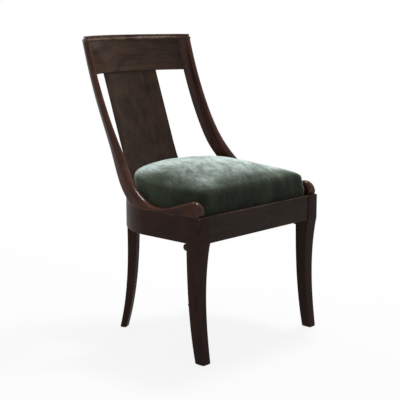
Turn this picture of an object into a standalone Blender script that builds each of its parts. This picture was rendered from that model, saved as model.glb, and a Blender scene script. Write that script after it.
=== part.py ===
"""Gondola chair: barrel-backed dining chair in dark polished wood with a drop-in velvet seat.

Metres, +Z up. The chair faces -Y and stands on Z = 0, mirror-symmetric about X = 0.
Pieces are worked out behind the front face of the legs (y = 0 there) and hung on one
empty that centres the whole chair over its origin.
"""

import math

import bmesh
import bpy
import numpy as np
from mathutils import Matrix, Vector

CHAIR = "gondola_chair"
SIDES = (("left", -1), ("right", 1))

# Clearance between pieces that fit together
FIT = 0.0003

# Overall height and the plan of the seat rails, outer face
CHAIR_HEIGHT = 0.820
SEAT_HALF_WIDTH = 0.245
SEAT_DEPTH = 0.410
SIDE_STRAIGHT = 0.195
PLAN_ROUNDNESS = 1.85

# Seat rails
RAIL_TOP = 0.3825
RAIL_HEIGHT = 0.0685
RAIL_WALL = 0.030
SEAT_LEDGE = 0.0175
REBATE_DEPTH = 0.016
REBATE_MARGIN = 0.005
FRONT_RAIL_SETBACK = 0.002
FRONT_RAIL_LIP = 0.011
REAR_JOINT_ANGLE = math.radians(67)
SIDE_RAIL_STEPS = 12
REAR_RAIL_STEPS = 13
RAIL_TENON_LENGTH = 0.018
RAIL_TENON_THICKNESS = 0.010
RAIL_TENON_HEIGHT = 0.034
TENON_ROOT = 0.006

# Shoe that the splat stands in, on top of the rear rail
SHOE_HEIGHT = 0.019
SHOE_ROUND = 0.004
SHOE_START_ANGLE = 0.02
SHOE_STEPS = 27

# Front legs: block at rail height, sabre curve below
FRONT_LEG_WIDTH = 0.042
FRONT_LEG_DEPTH = 0.045
FRONT_LEG_CORNER = 0.005
FRONT_FOOT_WIDTH = 0.0268
FRONT_FOOT_DEPTH = 0.029
FRONT_LEG_BOW = 0.0113
FRONT_LEG_KICK = 0.0084
FRONT_BOW_POWER = 0.8
FRONT_KICK_POWER = 3.0
FRONT_BACK_POWER = 2.75
FRONT_TAPER_POWER = 1.0
FRONT_LEG_STEPS = 14
EDGE_CHAMFER = 0.0015
FOOT_CHAMFER_HEIGHT = 0.002
EAR_RADIUS = 0.009
EAR_INSET = 0.0022
EAR_SIDES = 16
EAR_REACH = 0.0125
EAR_DROP = 0.0015

# Rear legs: turned to the curve of the rail, kicked straight back
REAR_LEG_INSET = 0.1035
REAR_LEG_SETBACK = 0.0654
REAR_LEG_YAW = math.radians(22)
REAR_LEG_DEPTH = 0.0288
REAR_LEG_WIDTH = 0.0247
REAR_FOOT_DEPTH = 0.0181
REAR_FOOT_WIDTH = 0.0191
REAR_LEG_KICK = 0.0448
REAR_LEG_TUCK = 0.0015
REAR_KICK_POWER = 2.55
REAR_LEG_STEPS = 12
REAR_LEG_TENON = 0.012
REAR_LEG_TENON_HEIGHT = 0.022

# Stiles: one swept piece each, from the cap down and forward to the knob over the front leg
STILE_TOP_RAKE = 0.0422
STILE_TOP_LEAN = 0.273
STILE_TOP_PULL = 0.217
STILE_DIP_PULL = 0.1225
STILE_INNER_TOP = 0.191
STILE_WIDTH_TOP = 0.0162
STILE_DEPTH_TOP = 0.0295
STILE_DEPTH_FOOT = 0.0457
STILE_FLARE_HEIGHT = 0.102
INNER_FLARE_HEIGHT = 0.087
INNER_FLARE_POWER = 3.0
STILE_TURN = 0.0036
STILE_REAR_SKEW_X = 0.0039
STILE_REAR_SKEW_Y = 0.0093
STILE_NOSE = 0.009
NOSE_WIDTH_LIMIT = 0.45
NOSE_DEPTH_LIMIT = 0.6
NOSE_STEPS = 7
STILE_LEVEL_SHARE = 0.35
STILE_DEPTH_POWER = 1.6
STILE_FINE_STEPS = 241
STILE_BACK_STEPS = 14
STILE_ARM_STEPS = 8
ARM_DIP_Y = 0.1525
ARM_DIP_HEIGHT = 0.0075
KNOB_Y = 0.031
KNOB_HEIGHT = 0.0375
KNOB_FRONT = 0.0065
KNOB_ROUND = 0.022
KNOB_PULL = 0.045
KNOB_STEPS = 8
KNOB_TURN_STEPS = 6
KNOB_FOOT_SHARE = 0.3

# Crest, its moulded cap and the splat
CAP_HEIGHT = 0.0152
CAP_BEAD = 0.0080
CAP_LIP = 0.0020
CAP_OVERHANG = 0.0012
CAP_STEP = 0.0045
CAP_ROUND = 0.0036
CAP_STEPS = 15
CREST_HEIGHT = 0.0893
CREST_RADIUS = 0.310
CREST_THICKNESS = 0.018
CREST_TENON_LENGTH = 0.016
CREST_TENON_THICKNESS = 0.005
CREST_TENON_HEIGHT = 0.050
CREST_TENON_ROOT = 0.003
CREST_STEPS = 13
SPLAT_HALF_WIDTH = 0.1007
SPLAT_THICKNESS = 0.010
SPLAT_RECESS = 0.003
SPLAT_LEAN = 0.350
SPLAT_BEND_HEIGHT = 0.108
SPLAT_TENON_THICKNESS = 0.005
SPLAT_TENON_LENGTH = 0.012
SPLAT_TENON_SHOULDER = 0.012
SPLAT_STEPS_ACROSS = 9
SPLAT_STEPS_UP = 6

# Dowels and screws
DOWEL_RADIUS = 0.004
DOWEL_DEPTH = 0.016
REAR_DOWEL_BEHIND = 0.030
FRONT_DOWEL_BEHIND = 0.030
CAP_DOWEL_RADIUS = 0.003
CAP_DOWEL_DEPTH = 0.009
SCREW_RADIUS = 0.002
SCREW_HEAD_RADIUS = 0.004
SCREW_HEAD_HEIGHT = 0.003
SCREW_LENGTH = 0.030
ROUND_SIDES = 12

# Corner blocks inside the rails
BLOCK_HEIGHT = 0.036
FRONT_BLOCK_REACH = 0.058
REAR_BLOCK_SPAN = math.radians(13)
REAR_BLOCK_THICKNESS = 0.026

# Drop-in seat
SEAT_PLAY = 0.0025
COVER_THICKNESS = 0.0015
COVER_HEM = 0.016
SEAT_BAR_WIDTH = 0.042
SEAT_BAR_HEIGHT = 0.022
SEAT_BAR_TENON = 0.012
SEAT_BAR_TENON_LENGTH = 0.020
SEAT_CORNER = 0.010
SEAT_BAR_CORNER = 0.0156
SEAT_OUTLINE_POINTS = 44
STRAP_WIDTH = 0.050
STRAP_THICKNESS = 0.0012
STRAP_LAP = 0.022
STRAP_WEAVE = 0.0009
STRAPS_ALONG = 3
STRAP_SPREAD = 0.8
STRAPS_ACROSS = 3
CLOTH_THICKNESS = 0.0008
NECK_RISE = 0.003
FRONT_EDGE_HEIGHT = 0.064
REAR_EDGE_HEIGHT = 0.083
REAR_BULGE = 0.018
FRONT_ROLL = 0.020
FRONT_ROLL_RISE = 0.0072
SEAT_CROWN = 0.105
CROWN_POWER = 2.1
CROWN_SHARES = (0.84, 0.62, 0.40, 0.18)
# Rear bulge of the cushion, as a share of its most: up its side by height, over its roll by angle
SIDE_SWELL = ((0.27, 0.7), (0.55, 1.0))
ROLL_SWELL = ((0.55, 0.8), (1.0, 0.2), (1.5, -0.7))
REAR_SWELL_START = 0.8
SIDE_DRAW = 0.0025
DUST_CLOTH_INSET = 0.0255

# Finishes: base colour, roughness, metallic
FINISHES = {
    "mahogany": ((0.055, 0.022, 0.013), 0.32, 0.0),
    "beech": ((0.42, 0.27, 0.15), 0.65, 0.0),
    "velvet": ((0.045, 0.085, 0.055), 0.95, 0.0),
    "horsehair": ((0.16, 0.12, 0.09), 0.95, 0.0),
    "hessian": ((0.38, 0.29, 0.18), 0.95, 0.0),
    "webbing": ((0.45, 0.37, 0.26), 0.90, 0.0),
    "black_cambric": ((0.015, 0.015, 0.016), 0.95, 0.0),
    "steel": ((0.45, 0.44, 0.42), 0.40, 1.0),
}

# Heights and places that follow from the sizes above
RAIL_BOTTOM = RAIL_TOP - RAIL_HEIGHT
LEDGE_Z = RAIL_TOP - REBATE_DEPTH
CAP_BASE = CHAIR_HEIGHT - CAP_HEIGHT
STILE_TOP_Y = SEAT_DEPTH + STILE_TOP_RAKE
REAR_LEG_X = SEAT_HALF_WIDTH - REAR_LEG_INSET
REAR_LEG_Y = SEAT_DEPTH - REAR_LEG_SETBACK
CREST_BASE = CAP_BASE - FIT - CREST_HEIGHT
SHOE_TOP = RAIL_TOP + FIT + SHOE_HEIGHT
ARM_BASE = RAIL_TOP + FIT
LEG_INNER = SEAT_HALF_WIDTH - FRONT_LEG_WIDTH
FRONT_RAIL_BACK = FRONT_RAIL_SETBACK + FRONT_RAIL_LIP + SEAT_LEDGE
RAIL_INNER = RAIL_WALL + SEAT_LEDGE
SEAT_EDGE = RAIL_WALL + SEAT_PLAY
SEAT_FRONT = FRONT_RAIL_SETBACK + FRONT_RAIL_LIP + SEAT_PLAY
HEM_Z = LEDGE_Z + FIT
BAR_BASE = HEM_Z + COVER_THICKNESS + FIT
BAR_TOP = BAR_BASE + SEAT_BAR_HEIGHT
BAR_EDGE = SEAT_EDGE + SIDE_DRAW + COVER_THICKNESS + 3 * FIT
BAR_FRONT = SEAT_FRONT + SIDE_DRAW + COVER_THICKNESS + 3 * FIT
STRAP_Z = BAR_TOP + FIT + STRAP_WEAVE + STRAP_THICKNESS
CLOTH_Z = STRAP_Z + STRAP_WEAVE + STRAP_THICKNESS + FIT
PAD_BASE = CLOTH_Z + CLOTH_THICKNESS + FIT


def empty_scene():
    """Remove whatever the file holds and make the two collections and the root empty."""
    for old in list(bpy.data.objects):
        bpy.data.objects.remove(old, do_unlink=True)
    for name in (CHAIR, "cutters"):
        collection = bpy.data.collections.get(name) or bpy.data.collections.new(name)
        if collection.name not in bpy.context.scene.collection.children:
            bpy.context.scene.collection.children.link(collection)
    root = bpy.data.objects.new("chair_centre", None)
    bpy.data.collections[CHAIR].objects.link(root)
    return root


def finish(name):
    """Principled material of one finish."""
    material = bpy.data.materials.get(name)
    if material is None:
        colour, roughness, metallic = FINISHES[name]
        material = bpy.data.materials.new(name)
        material.use_nodes = True
        shader = material.node_tree.nodes["Principled BSDF"]
        shader.inputs["Base Color"].default_value = (*colour, 1.0)
        shader.inputs["Roughness"].default_value = roughness
        shader.inputs["Metallic"].default_value = metallic
        material.diffuse_color = (*colour, 1.0)
    return material


def add_part(name, mesh, material):
    """Named sub-part in the chair's collection, hung on the root empty."""
    mesh.materials.clear()
    mesh.materials.append(finish(material))
    mesh.shade_smooth()
    mesh.set_sharp_from_angle(angle=math.radians(30))
    part = bpy.data.objects.new(name, mesh)
    bpy.data.collections[CHAIR].objects.link(part)
    part.parent = ROOT
    return part


def add_cutter(name, mesh):
    """Hidden helper for a Boolean modifier."""
    cutter = bpy.data.objects.new(name, mesh)
    bpy.data.collections["cutters"].objects.link(cutter)
    cutter.parent = ROOT
    cutter.hide_render = True
    cutter.display_type = "WIRE"
    return cutter


def boolean(part, mesh, operation, label):
    """Cut a mesh out of a part, or join it on, with the exact solver."""
    modifier = part.modifiers.new(label, "BOOLEAN")
    modifier.operation = operation
    modifier.solver = "EXACT"
    modifier.object = add_cutter(f"{part.name}_{label}", mesh)


def mesh_from(bm, name):
    """Mesh from a bmesh, with its faces turned outwards."""
    bmesh.ops.recalc_face_normals(bm, faces=bm.faces)
    mesh = bpy.data.meshes.new(name)
    bm.to_mesh(mesh)
    bm.free()
    return mesh


def loft(rings, name="loft", split=False):
    """Closed solid through rings of points, an array of rings x points x 3, capped at both ends.

    With split each side face is two triangles, so that nested shapes fold along the same lines.
    """
    rings = np.asarray(rings, float)
    count, around = rings.shape[:2]
    bm = bmesh.new()
    loops = [[bm.verts.new(point) for point in ring] for ring in rings]
    for lower, upper in zip(loops, loops[1:]):
        for i in range(around):
            j = (i + 1) % around
            if split:
                bm.faces.new((lower[i], lower[j], upper[j]))
                bm.faces.new((lower[i], upper[j], upper[i]))
            else:
                bm.faces.new((lower[i], lower[j], upper[j], upper[i]))
    bm.faces.new(loops[0][::-1])
    bm.faces.new(loops[count - 1])
    return mesh_from(bm, name)


def box(centre, size, yaw=0.0, tilt=0.0):
    """Box turned about Z by yaw and then leaned about its own X by tilt."""
    bm = bmesh.new()
    place = (Matrix.Translation(centre) @ Matrix.Rotation(yaw, 4, "Z") @ Matrix.Rotation(tilt, 4, "X")
             @ Matrix.Diagonal((*size, 1.0)))
    bmesh.ops.create_cube(bm, size=1.0, matrix=place)
    return mesh_from(bm, "box")


def rod(start, end, radius, sides):
    """Round rod between two points."""
    start, end = Vector(start), Vector(end)
    place = Matrix.Translation((start + end) / 2) @ (end - start).to_track_quat("Z", "Y").to_matrix().to_4x4()
    bm = bmesh.new()
    bmesh.ops.create_cone(bm, cap_ends=True, segments=sides, radius1=radius, radius2=radius,
                          depth=(end - start).length, matrix=place)
    return mesh_from(bm, "rod")


def plan_point(u, inset=0.0):
    """Point and outward normal of the seat's plan at angle u from the right side (0) to the left (pi).

    The rear of the plan is a superellipse behind the straight sides; inset moves in along the normal.
    """
    reach = SEAT_DEPTH - SIDE_STRAIGHT
    cosine, sine = math.cos(u), math.sin(u)
    power = 2.0 / PLAN_ROUNDNESS
    x = SEAT_HALF_WIDTH * math.copysign(abs(cosine) ** power, cosine)
    y = SIDE_STRAIGHT + reach * abs(sine) ** power
    slope = PLAN_ROUNDNESS - 1.0
    normal_x = math.copysign(abs(x / SEAT_HALF_WIDTH) ** slope, x) / SEAT_HALF_WIDTH
    normal_y = abs((y - SIDE_STRAIGHT) / reach) ** slope / reach
    length = math.hypot(normal_x, normal_y)
    normal = np.array([normal_x / length, normal_y / length])
    return np.array([x, y]) - inset * normal, normal


def plan_x(y):
    """Half width of the seat's outer plan at depth y."""
    reach = max(0.0, min(1.0, (y - SIDE_STRAIGHT) / (SEAT_DEPTH - SIDE_STRAIGHT)))
    return SEAT_HALF_WIDTH * (1.0 - reach ** PLAN_ROUNDNESS) ** (1.0 / PLAN_ROUNDNESS)


def arc_path(start, end, steps):
    """Stations of the plan between two angles."""
    return [plan_point(u) for u in np.linspace(start, end, steps)]


def sweep(path, profile):
    """Solid of a profile, given as (inset, z) pairs, carried along stations of the plan."""
    rings = [[(*(point - inset * normal), z) for inset, z in profile] for point, normal in path]
    return loft(rings, "sweep")


def rail_profile():
    """Seat rail in section: full wall outside, ledge for the drop-in seat inside."""
    return [(0.0, RAIL_BOTTOM), (0.0, RAIL_TOP), (RAIL_WALL, RAIL_TOP), (RAIL_WALL, LEDGE_Z),
            (RAIL_INNER, LEDGE_Z), (RAIL_INNER, RAIL_BOTTOM)]


def mirrored(points, side):
    """Points given for the right side, moved to the asked side."""
    return np.asarray(points, float) * np.array([side, 1.0, 1.0])


def tenon(male, female, centre, size, yaw, label, tilt=0.0):
    """Join a tenon block to one piece and cut its mortise, larger by the clearance, in the other."""
    boolean(male, box(centre, size, yaw, tilt), "UNION", label)
    grown = [edge + 2 * FIT for edge in size]
    boolean(female, box(centre, grown, yaw, tilt), "DIFFERENCE", f"{label}_mortise")


def front_leg(side_name, side):
    """Sabre front leg with its corner block, rebated for the seat, and the small rounded ear behind it."""
    rings = []
    foot_back = FRONT_FOOT_DEPTH - FRONT_LEG_KICK
    middle = SEAT_HALF_WIDTH - FRONT_LEG_WIDTH / 2
    for z in leg_levels(RAIL_BOTTOM, FRONT_LEG_STEPS) + [RAIL_TOP - EDGE_CHAMFER, RAIL_TOP]:
        drop = max(0.0, 1.0 - z / RAIL_BOTTOM)
        bow = FRONT_LEG_BOW * math.sin(math.pi * drop ** FRONT_BOW_POWER)
        front = bow - FRONT_LEG_KICK * drop ** FRONT_KICK_POWER
        back = FRONT_LEG_DEPTH - (FRONT_LEG_DEPTH - foot_back) * drop ** FRONT_BACK_POWER
        width = FRONT_LEG_WIDTH - (FRONT_LEG_WIDTH - FRONT_FOOT_WIDTH) * drop ** FRONT_TAPER_POWER
        inset = EDGE_CHAMFER if z in (0.0, RAIL_TOP) else 0.0
        rings.append(leg_ring(middle - width / 2, middle + width / 2, front, back, z, inset))
    leg = add_part(f"{side_name}_front_leg", loft(mirrored(rings, side)), "mahogany")
    ear_z = RAIL_BOTTOM - EAR_DROP - EAR_RADIUS
    ear_y = FRONT_LEG_DEPTH + EAR_REACH - EAR_RADIUS
    ends = [(side * x, ear_y, ear_z) for x in (SEAT_HALF_WIDTH - EAR_INSET, LEG_INNER + EAR_INSET)]
    boolean(leg, rod(*ends, EAR_RADIUS, EAR_SIDES), "UNION", "ear")
    low = np.array([LEG_INNER - REBATE_MARGIN, FRONT_RAIL_SETBACK + FRONT_RAIL_LIP, LEDGE_Z])
    high = np.array([SEAT_HALF_WIDTH - RAIL_WALL, FRONT_LEG_DEPTH + REBATE_MARGIN, RAIL_TOP + REBATE_MARGIN])
    boolean(leg, box(mirrored((low + high) / 2, side), high - low), "DIFFERENCE", "seat_rebate")
    return leg


def leg_levels(top, steps):
    """Heights of a leg's sections: the chamfer of the foot, then even steps up to the rail."""
    return [0.0, *np.linspace(FOOT_CHAMFER_HEIGHT, top, steps)]


def leg_ring(inner, outer, front, back, z, inset):
    """Leg section at one height: small chamfers, a rounded corner at the front outside."""
    inner, outer, front, back = inner + inset, outer - inset, front + inset, back - inset
    turn = FRONT_LEG_CORNER
    cut = EDGE_CHAMFER
    corner = [(outer - turn + turn * math.sin(a), front + turn - turn * math.cos(a))
              for a in np.linspace(0.0, math.pi / 2, 4)]
    outline = [(inner, front + cut), (inner + cut, front), *corner, (outer, back - cut), (outer - cut, back),
               (inner + cut, back), (inner, back - cut)]
    return [(x, y, z) for x, y in outline]


def rear_leg(side_name, side):
    """Sabre rear leg, turned to the curve of the rail, with a stub tenon on top."""
    along = np.array([math.sin(REAR_LEG_YAW), math.cos(REAR_LEG_YAW)])
    across = np.array([along[1], -along[0]])
    top = np.array([REAR_LEG_X, REAR_LEG_Y])
    height = RAIL_BOTTOM - FIT
    rings = []
    for z in leg_levels(height, REAR_LEG_STEPS):
        drop = 1.0 - z / height
        inset = EDGE_CHAMFER if z == 0.0 else 0.0
        reach = (REAR_LEG_DEPTH - (REAR_LEG_DEPTH - REAR_FOOT_DEPTH) * drop) / 2 - inset
        half = (REAR_LEG_WIDTH - (REAR_LEG_WIDTH - REAR_FOOT_WIDTH) * drop) / 2 - inset
        centre = top + drop ** REAR_KICK_POWER * np.array([-REAR_LEG_TUCK, REAR_LEG_KICK])
        rings.append(turned_ring(centre, along, across, -reach, reach, half, z))
    leg = add_part(f"{side_name}_rear_leg", loft(mirrored(rings, side)), "mahogany")
    size = (REAR_LEG_TENON, REAR_LEG_TENON, 2 * REAR_LEG_TENON_HEIGHT)
    tenon(leg, PARTS[f"{side_name}_side_rail"], (side * REAR_LEG_X, REAR_LEG_Y, RAIL_BOTTOM), size,
          -side * REAR_LEG_YAW, "leg_tenon")
    return leg


def turned_ring(centre, along, across, ahead, behind, half, z):
    """Chamfered rectangle in a turned frame."""
    cut = EDGE_CHAMFER
    corners = [(-half, ahead + cut), (-half + cut, ahead), (half - cut, ahead), (half, ahead + cut),
               (half, behind - cut), (half - cut, behind), (-half + cut, behind), (-half, behind - cut)]
    return [(*(centre + a * across + b * along), z) for a, b in corners]


def front_rail():
    """Straight front rail between the leg blocks, rebated for the seat."""
    half = LEG_INNER - FIT
    outward = np.array([0.0, -1.0])
    path = [(np.array([x, FRONT_RAIL_SETBACK]), outward) for x in (-half, half)]
    depth = FRONT_RAIL_LIP + SEAT_LEDGE
    profile = [(0.0, RAIL_BOTTOM), (0.0, RAIL_TOP), (FRONT_RAIL_LIP, RAIL_TOP), (FRONT_RAIL_LIP, LEDGE_Z),
               (depth, LEDGE_Z), (depth, RAIL_BOTTOM)]
    rail = add_part("front_rail", sweep(path, profile), "mahogany")
    for side_name, side in SIDES:
        length = RAIL_TENON_LENGTH + TENON_ROOT
        x = LEG_INNER - TENON_ROOT + length / 2
        centre = (side * x, FRONT_RAIL_SETBACK + FRONT_RAIL_LIP, tenon_z())
        size = (length, RAIL_TENON_THICKNESS, RAIL_TENON_HEIGHT)
        tenon(rail, PARTS[f"{side_name}_front_leg"], centre, size, 0.0, f"{side_name}_tenon")
    return rail


def tenon_z():
    """Middle height of the rail tenons, under the ledge."""
    return RAIL_BOTTOM + (LEDGE_Z - RAIL_BOTTOM) / 2


def side_rail(side_name, side):
    """Curved side rail from the front leg round the rear corner, tenoned into the leg."""
    start = FRONT_LEG_DEPTH + FIT
    outward = np.array([1.0, 0.0])
    straight = [(np.array([SEAT_HALF_WIDTH, y]), outward) for y in (start, (start + SIDE_STRAIGHT) / 2)]
    path = straight + arc_path(0.0, REAR_JOINT_ANGLE, SIDE_RAIL_STEPS)
    path = [(point * np.array([side, 1.0]), normal * np.array([side, 1.0])) for point, normal in path]
    rail = add_part(f"{side_name}_side_rail", sweep(path, rail_profile()), "mahogany")
    length = RAIL_TENON_LENGTH + TENON_ROOT
    centre = (side * (SEAT_HALF_WIDTH - RAIL_WALL / 2), FRONT_LEG_DEPTH + TENON_ROOT - length / 2, tenon_z())
    size = (RAIL_TENON_THICKNESS, length, RAIL_TENON_HEIGHT)
    tenon(rail, PARTS[f"{side_name}_front_leg"], centre, size, 0.0, "rail_tenon")
    return rail


def rear_rail():
    """Curved rear rail, tenoned into both side rails."""
    gap = FIT / SEAT_DEPTH
    path = arc_path(REAR_JOINT_ANGLE + gap, math.pi - REAR_JOINT_ANGLE - gap, REAR_RAIL_STEPS)
    rail = add_part("rear_rail", sweep(path, rail_profile()), "mahogany")
    for side_name, side in SIDES:
        middle, normal = plan_point(REAR_JOINT_ANGLE, RAIL_INNER / 2)
        size = (2 * RAIL_TENON_LENGTH, RAIL_TENON_THICKNESS, RAIL_TENON_HEIGHT)
        yaw = -side * math.atan2(normal[0], normal[1])
        tenon(rail, PARTS[f"{side_name}_side_rail"], (side * middle[0], middle[1], tenon_z()), size, yaw,
              f"{side_name}_tenon")
    return rail


def bezier(start, start_pull, end_pull, end, steps):
    """Points of a cubic Bezier curve."""
    t = np.linspace(0.0, 1.0, steps)[:, None]
    return ((1 - t) ** 3 * start + 3 * (1 - t) ** 2 * t * start_pull + 3 * (1 - t) * t ** 2 * end_pull
            + t ** 3 * end)


def flare(z, height=STILE_FLARE_HEIGHT, power=2.0):
    """Share of the stile's spread at height z: one at the rail, fading out up the back."""
    return math.exp(-(max(0.0, z - RAIL_TOP) / height) ** power)


def stile_inner(z):
    """Inner face of the stile at its front edge."""
    spread = SEAT_HALF_WIDTH - RAIL_WALL - STILE_INNER_TOP
    return STILE_INNER_TOP + spread * flare(z, INNER_FLARE_HEIGHT, INNER_FLARE_POWER)


def stile_outer(z):
    """Outer face of the stile at its front edge."""
    top = STILE_INNER_TOP + STILE_WIDTH_TOP
    return top + (SEAT_HALF_WIDTH - top) * flare(z)


def stile_edges():
    """Front and rear edge of the stile in side view, paired (y, z) rows from the cap to the knob's foot.

    The front edge sweeps down in one curve to the dip of the arm, rises to the knob and turns
    down over its rounded front. The rear edge lies one stile depth behind it, square to the
    curve except near the level top, and runs along the top of the rail once it reaches it.
    """
    top = np.array([STILE_TOP_Y, CAP_BASE - FIT])
    lean = np.array([-STILE_TOP_LEAN, -1.0]) / math.hypot(STILE_TOP_LEAN, 1.0)
    dip = np.array([ARM_DIP_Y, RAIL_TOP + ARM_DIP_HEIGHT])
    knob = np.array([KNOB_Y, RAIL_TOP + KNOB_HEIGHT])
    fine = STILE_FINE_STEPS
    down = bezier(top, top + STILE_TOP_PULL * lean, dip + np.array([STILE_DIP_PULL, 0.0]), dip, fine)
    tangent = np.gradient(down, axis=0)
    tangent /= np.linalg.norm(tangent, axis=1)[:, None]
    share = np.linspace(0.0, 1.0, fine)
    level = np.clip(1.0 - share / STILE_LEVEL_SHARE, 0.0, 1.0)[:, None]
    inward = np.stack([-tangent[:, 1], tangent[:, 0]], axis=1) * (1.0 - level) + np.array([1.0, 0.0]) * level
    inward /= np.linalg.norm(inward, axis=1)[:, None]
    depth = STILE_DEPTH_TOP + (STILE_DEPTH_FOOT - STILE_DEPTH_TOP) * share ** STILE_DEPTH_POWER
    to_rail = (down[:, 1] - ARM_BASE) / np.maximum(-inward[:, 1], 1e-6)
    behind = down + np.minimum(depth, to_rail)[:, None] * inward
    landing = int(np.argmax(to_rail <= depth))
    picks = np.unique(np.concatenate([np.linspace(0, landing, STILE_BACK_STEPS).astype(int),
                                      np.linspace(landing, fine - 1, STILE_ARM_STEPS).astype(int)]))
    rise = bezier(dip, dip - np.array([KNOB_PULL, 0.0]), knob + np.array([KNOB_PULL / 2, 0.0]), knob,
                  KNOB_STEPS)[1:]
    turn = np.linspace(0.0, math.pi / 2, KNOB_TURN_STEPS)[1:]
    nose = np.stack([KNOB_Y - (KNOB_Y - KNOB_FRONT) * np.sin(turn),
                     knob[1] - KNOB_ROUND * (1.0 - np.cos(turn))], axis=1)
    nose_reach = (KNOB_Y - KNOB_FRONT - EDGE_CHAMFER) * np.linspace(KNOB_FOOT_SHARE, 1.0, len(turn))
    nose_foot = np.stack([KNOB_Y - nose_reach, np.full(len(turn), ARM_BASE)], axis=1)
    rise_foot = np.stack([rise[:, 0], np.full(len(rise), ARM_BASE)], axis=1)
    front = np.concatenate([down[picks], rise, nose])
    rear = np.concatenate([behind[picks], rise_foot, nose_foot])
    return front, rear, behind[landing][0]


def stile_heel():
    """Rear corners of the stile's free part: rows of inner x, inner y, outer x, outer y, z, rising."""
    rings = np.array(stile_rings())
    rows = np.concatenate([rings[:, -1, :2], rings[:, -2, :2], rings[:, -1, 2:]], axis=1)
    return rows[rows[:, 4] > ARM_BASE + FIT][::-1]


def stile_rear(z):
    """Inner and outer rear corner of the stile's free part at height z, in plan."""
    rows = stile_heel()
    at = [float(np.interp(z, rows[:, 4], rows[:, k])) for k in range(4)]
    return np.array(at[:2]), np.array(at[2:])


def stile_corner(y, z, landing):
    """Rear corners at a point of the rear edge: the stile turns in with the curve of the rail."""
    free = 1.0 - flare(z)
    turned = SEAT_HALF_WIDTH - plan_x(min(y, landing)) + STILE_TURN * free
    inner = np.array([stile_inner(z) - turned, y])
    outer = np.array([stile_outer(z) - turned - STILE_REAR_SKEW_X * free, y + STILE_REAR_SKEW_Y * free])
    return inner, outer


def stile_rings():
    """Sections of the right stile: rounded front edge, flat inner and outer face, rear edge."""
    front, rear, landing = stile_edges()
    rings = []
    for (y, z), (rear_y, rear_z) in zip(front, rear):
        inner, outer = stile_inner(z), stile_outer(z)
        inward = np.array([rear_y - y, rear_z - z])
        depth = np.linalg.norm(inward)
        inward /= depth
        nose = min(STILE_NOSE, NOSE_WIDTH_LIMIT * (outer - inner), NOSE_DEPTH_LIMIT * depth)
        ring = []
        for turn in np.linspace(0.0, math.pi, NOSE_STEPS):
            x = (inner + outer) / 2 - (outer - inner) / 2 * math.cos(turn)
            back = nose * (1.0 - math.sin(turn))
            ring.append((x, y + back * inward[0], z + back * inward[1]))
        corner_in, corner_out = stile_corner(rear_y, rear_z, landing)
        ring.append((*corner_out, rear_z))
        ring.append((*corner_in, rear_z))
        rings.append(ring)
    return rings


def stile(side_name, side):
    """Swept stile and arm in one piece, doweled to the side rail and the leg block."""
    part = add_part(f"{side_name}_stile", loft(mirrored(stile_rings(), side)), "mahogany")
    x = SEAT_HALF_WIDTH - RAIL_WALL / 2
    seats = {"rear": (x, SIDE_STRAIGHT + REAR_DOWEL_BEHIND, f"{side_name}_side_rail"),
             "front": (x, FRONT_DOWEL_BEHIND, f"{side_name}_front_leg")}
    for label, (dowel_x, y, carrier) in seats.items():
        low = (side * dowel_x, y, RAIL_TOP - DOWEL_DEPTH)
        high = (side * dowel_x, y, RAIL_TOP + DOWEL_DEPTH)
        dowel(f"{side_name}_{label}_dowel", low, high, DOWEL_RADIUS, (part, PARTS[carrier]))
    return part


def dowel(name, low, high, radius, carriers):
    """Wooden dowel and its holes in the two pieces that it joins."""
    PARTS[name] = add_part(name, rod(low, high, radius, ROUND_SIDES), "beech")
    slack = Vector((0.0, 0.0, FIT))
    for carrier in carriers:
        hole = rod(Vector(low) - slack, Vector(high) + slack, radius + FIT, ROUND_SIDES)
        boolean(carrier, hole, "DIFFERENCE", f"{name}_hole")


def crest_middle(z):
    """Depth of the crest's front face at X = 0 and height z, from where its ends meet the stiles."""
    inner, outer = stile_rear(z)
    return inner[1] + CREST_RADIUS - math.sqrt(CREST_RADIUS ** 2 - inner[0] ** 2)


def crest_band(z, steps, gap=FIT):
    """Front and back line of the barrel-shaped crest at height z, left to right, ending at the stiles."""
    inner, outer = stile_rear(z)
    middle = crest_middle(z)
    end = inner[0] - gap
    xs = np.linspace(-end, end, steps)
    front = np.stack([xs, middle - CREST_RADIUS + np.sqrt(CREST_RADIUS ** 2 - xs ** 2)], axis=1)
    sagitta = middle + CREST_THICKNESS - outer[1]
    radius = (outer[0] ** 2 + sagitta ** 2) / (2 * sagitta)
    xs = np.linspace(-(outer[0] - gap), outer[0] - gap, steps)
    back = np.stack([xs, middle + CREST_THICKNESS - radius + np.sqrt(radius ** 2 - xs ** 2)], axis=1)
    front[[0, -1], 1] = inner[1] + gap
    back[[0, -1], 1] = outer[1] + gap
    return front, back


def crest():
    """Curved crest rail between the stiles, with a tenon into each."""
    heights = stile_heel()[:, 4]
    inside = heights[(heights > CREST_BASE + FIT) & (heights < CAP_BASE - 2 * FIT)]
    rings = []
    for z in (CREST_BASE, *inside, CAP_BASE - FIT):
        front, back = crest_band(z, CREST_STEPS)
        rings.append([(*point, z) for point in np.concatenate([front, back[::-1]])])
    rail = add_part("crest_rail", loft(rings), "mahogany")
    for side_name, side in SIDES:
        boolean(rail, loft(mirrored(crest_tenon(0.0), side)), "UNION", f"{side_name}_tenon")
        stile_part = PARTS[f"{side_name}_stile"]
        boolean(stile_part, loft(mirrored(crest_tenon(FIT), side)), "DIFFERENCE", "crest_mortise")
    return rail


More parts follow.
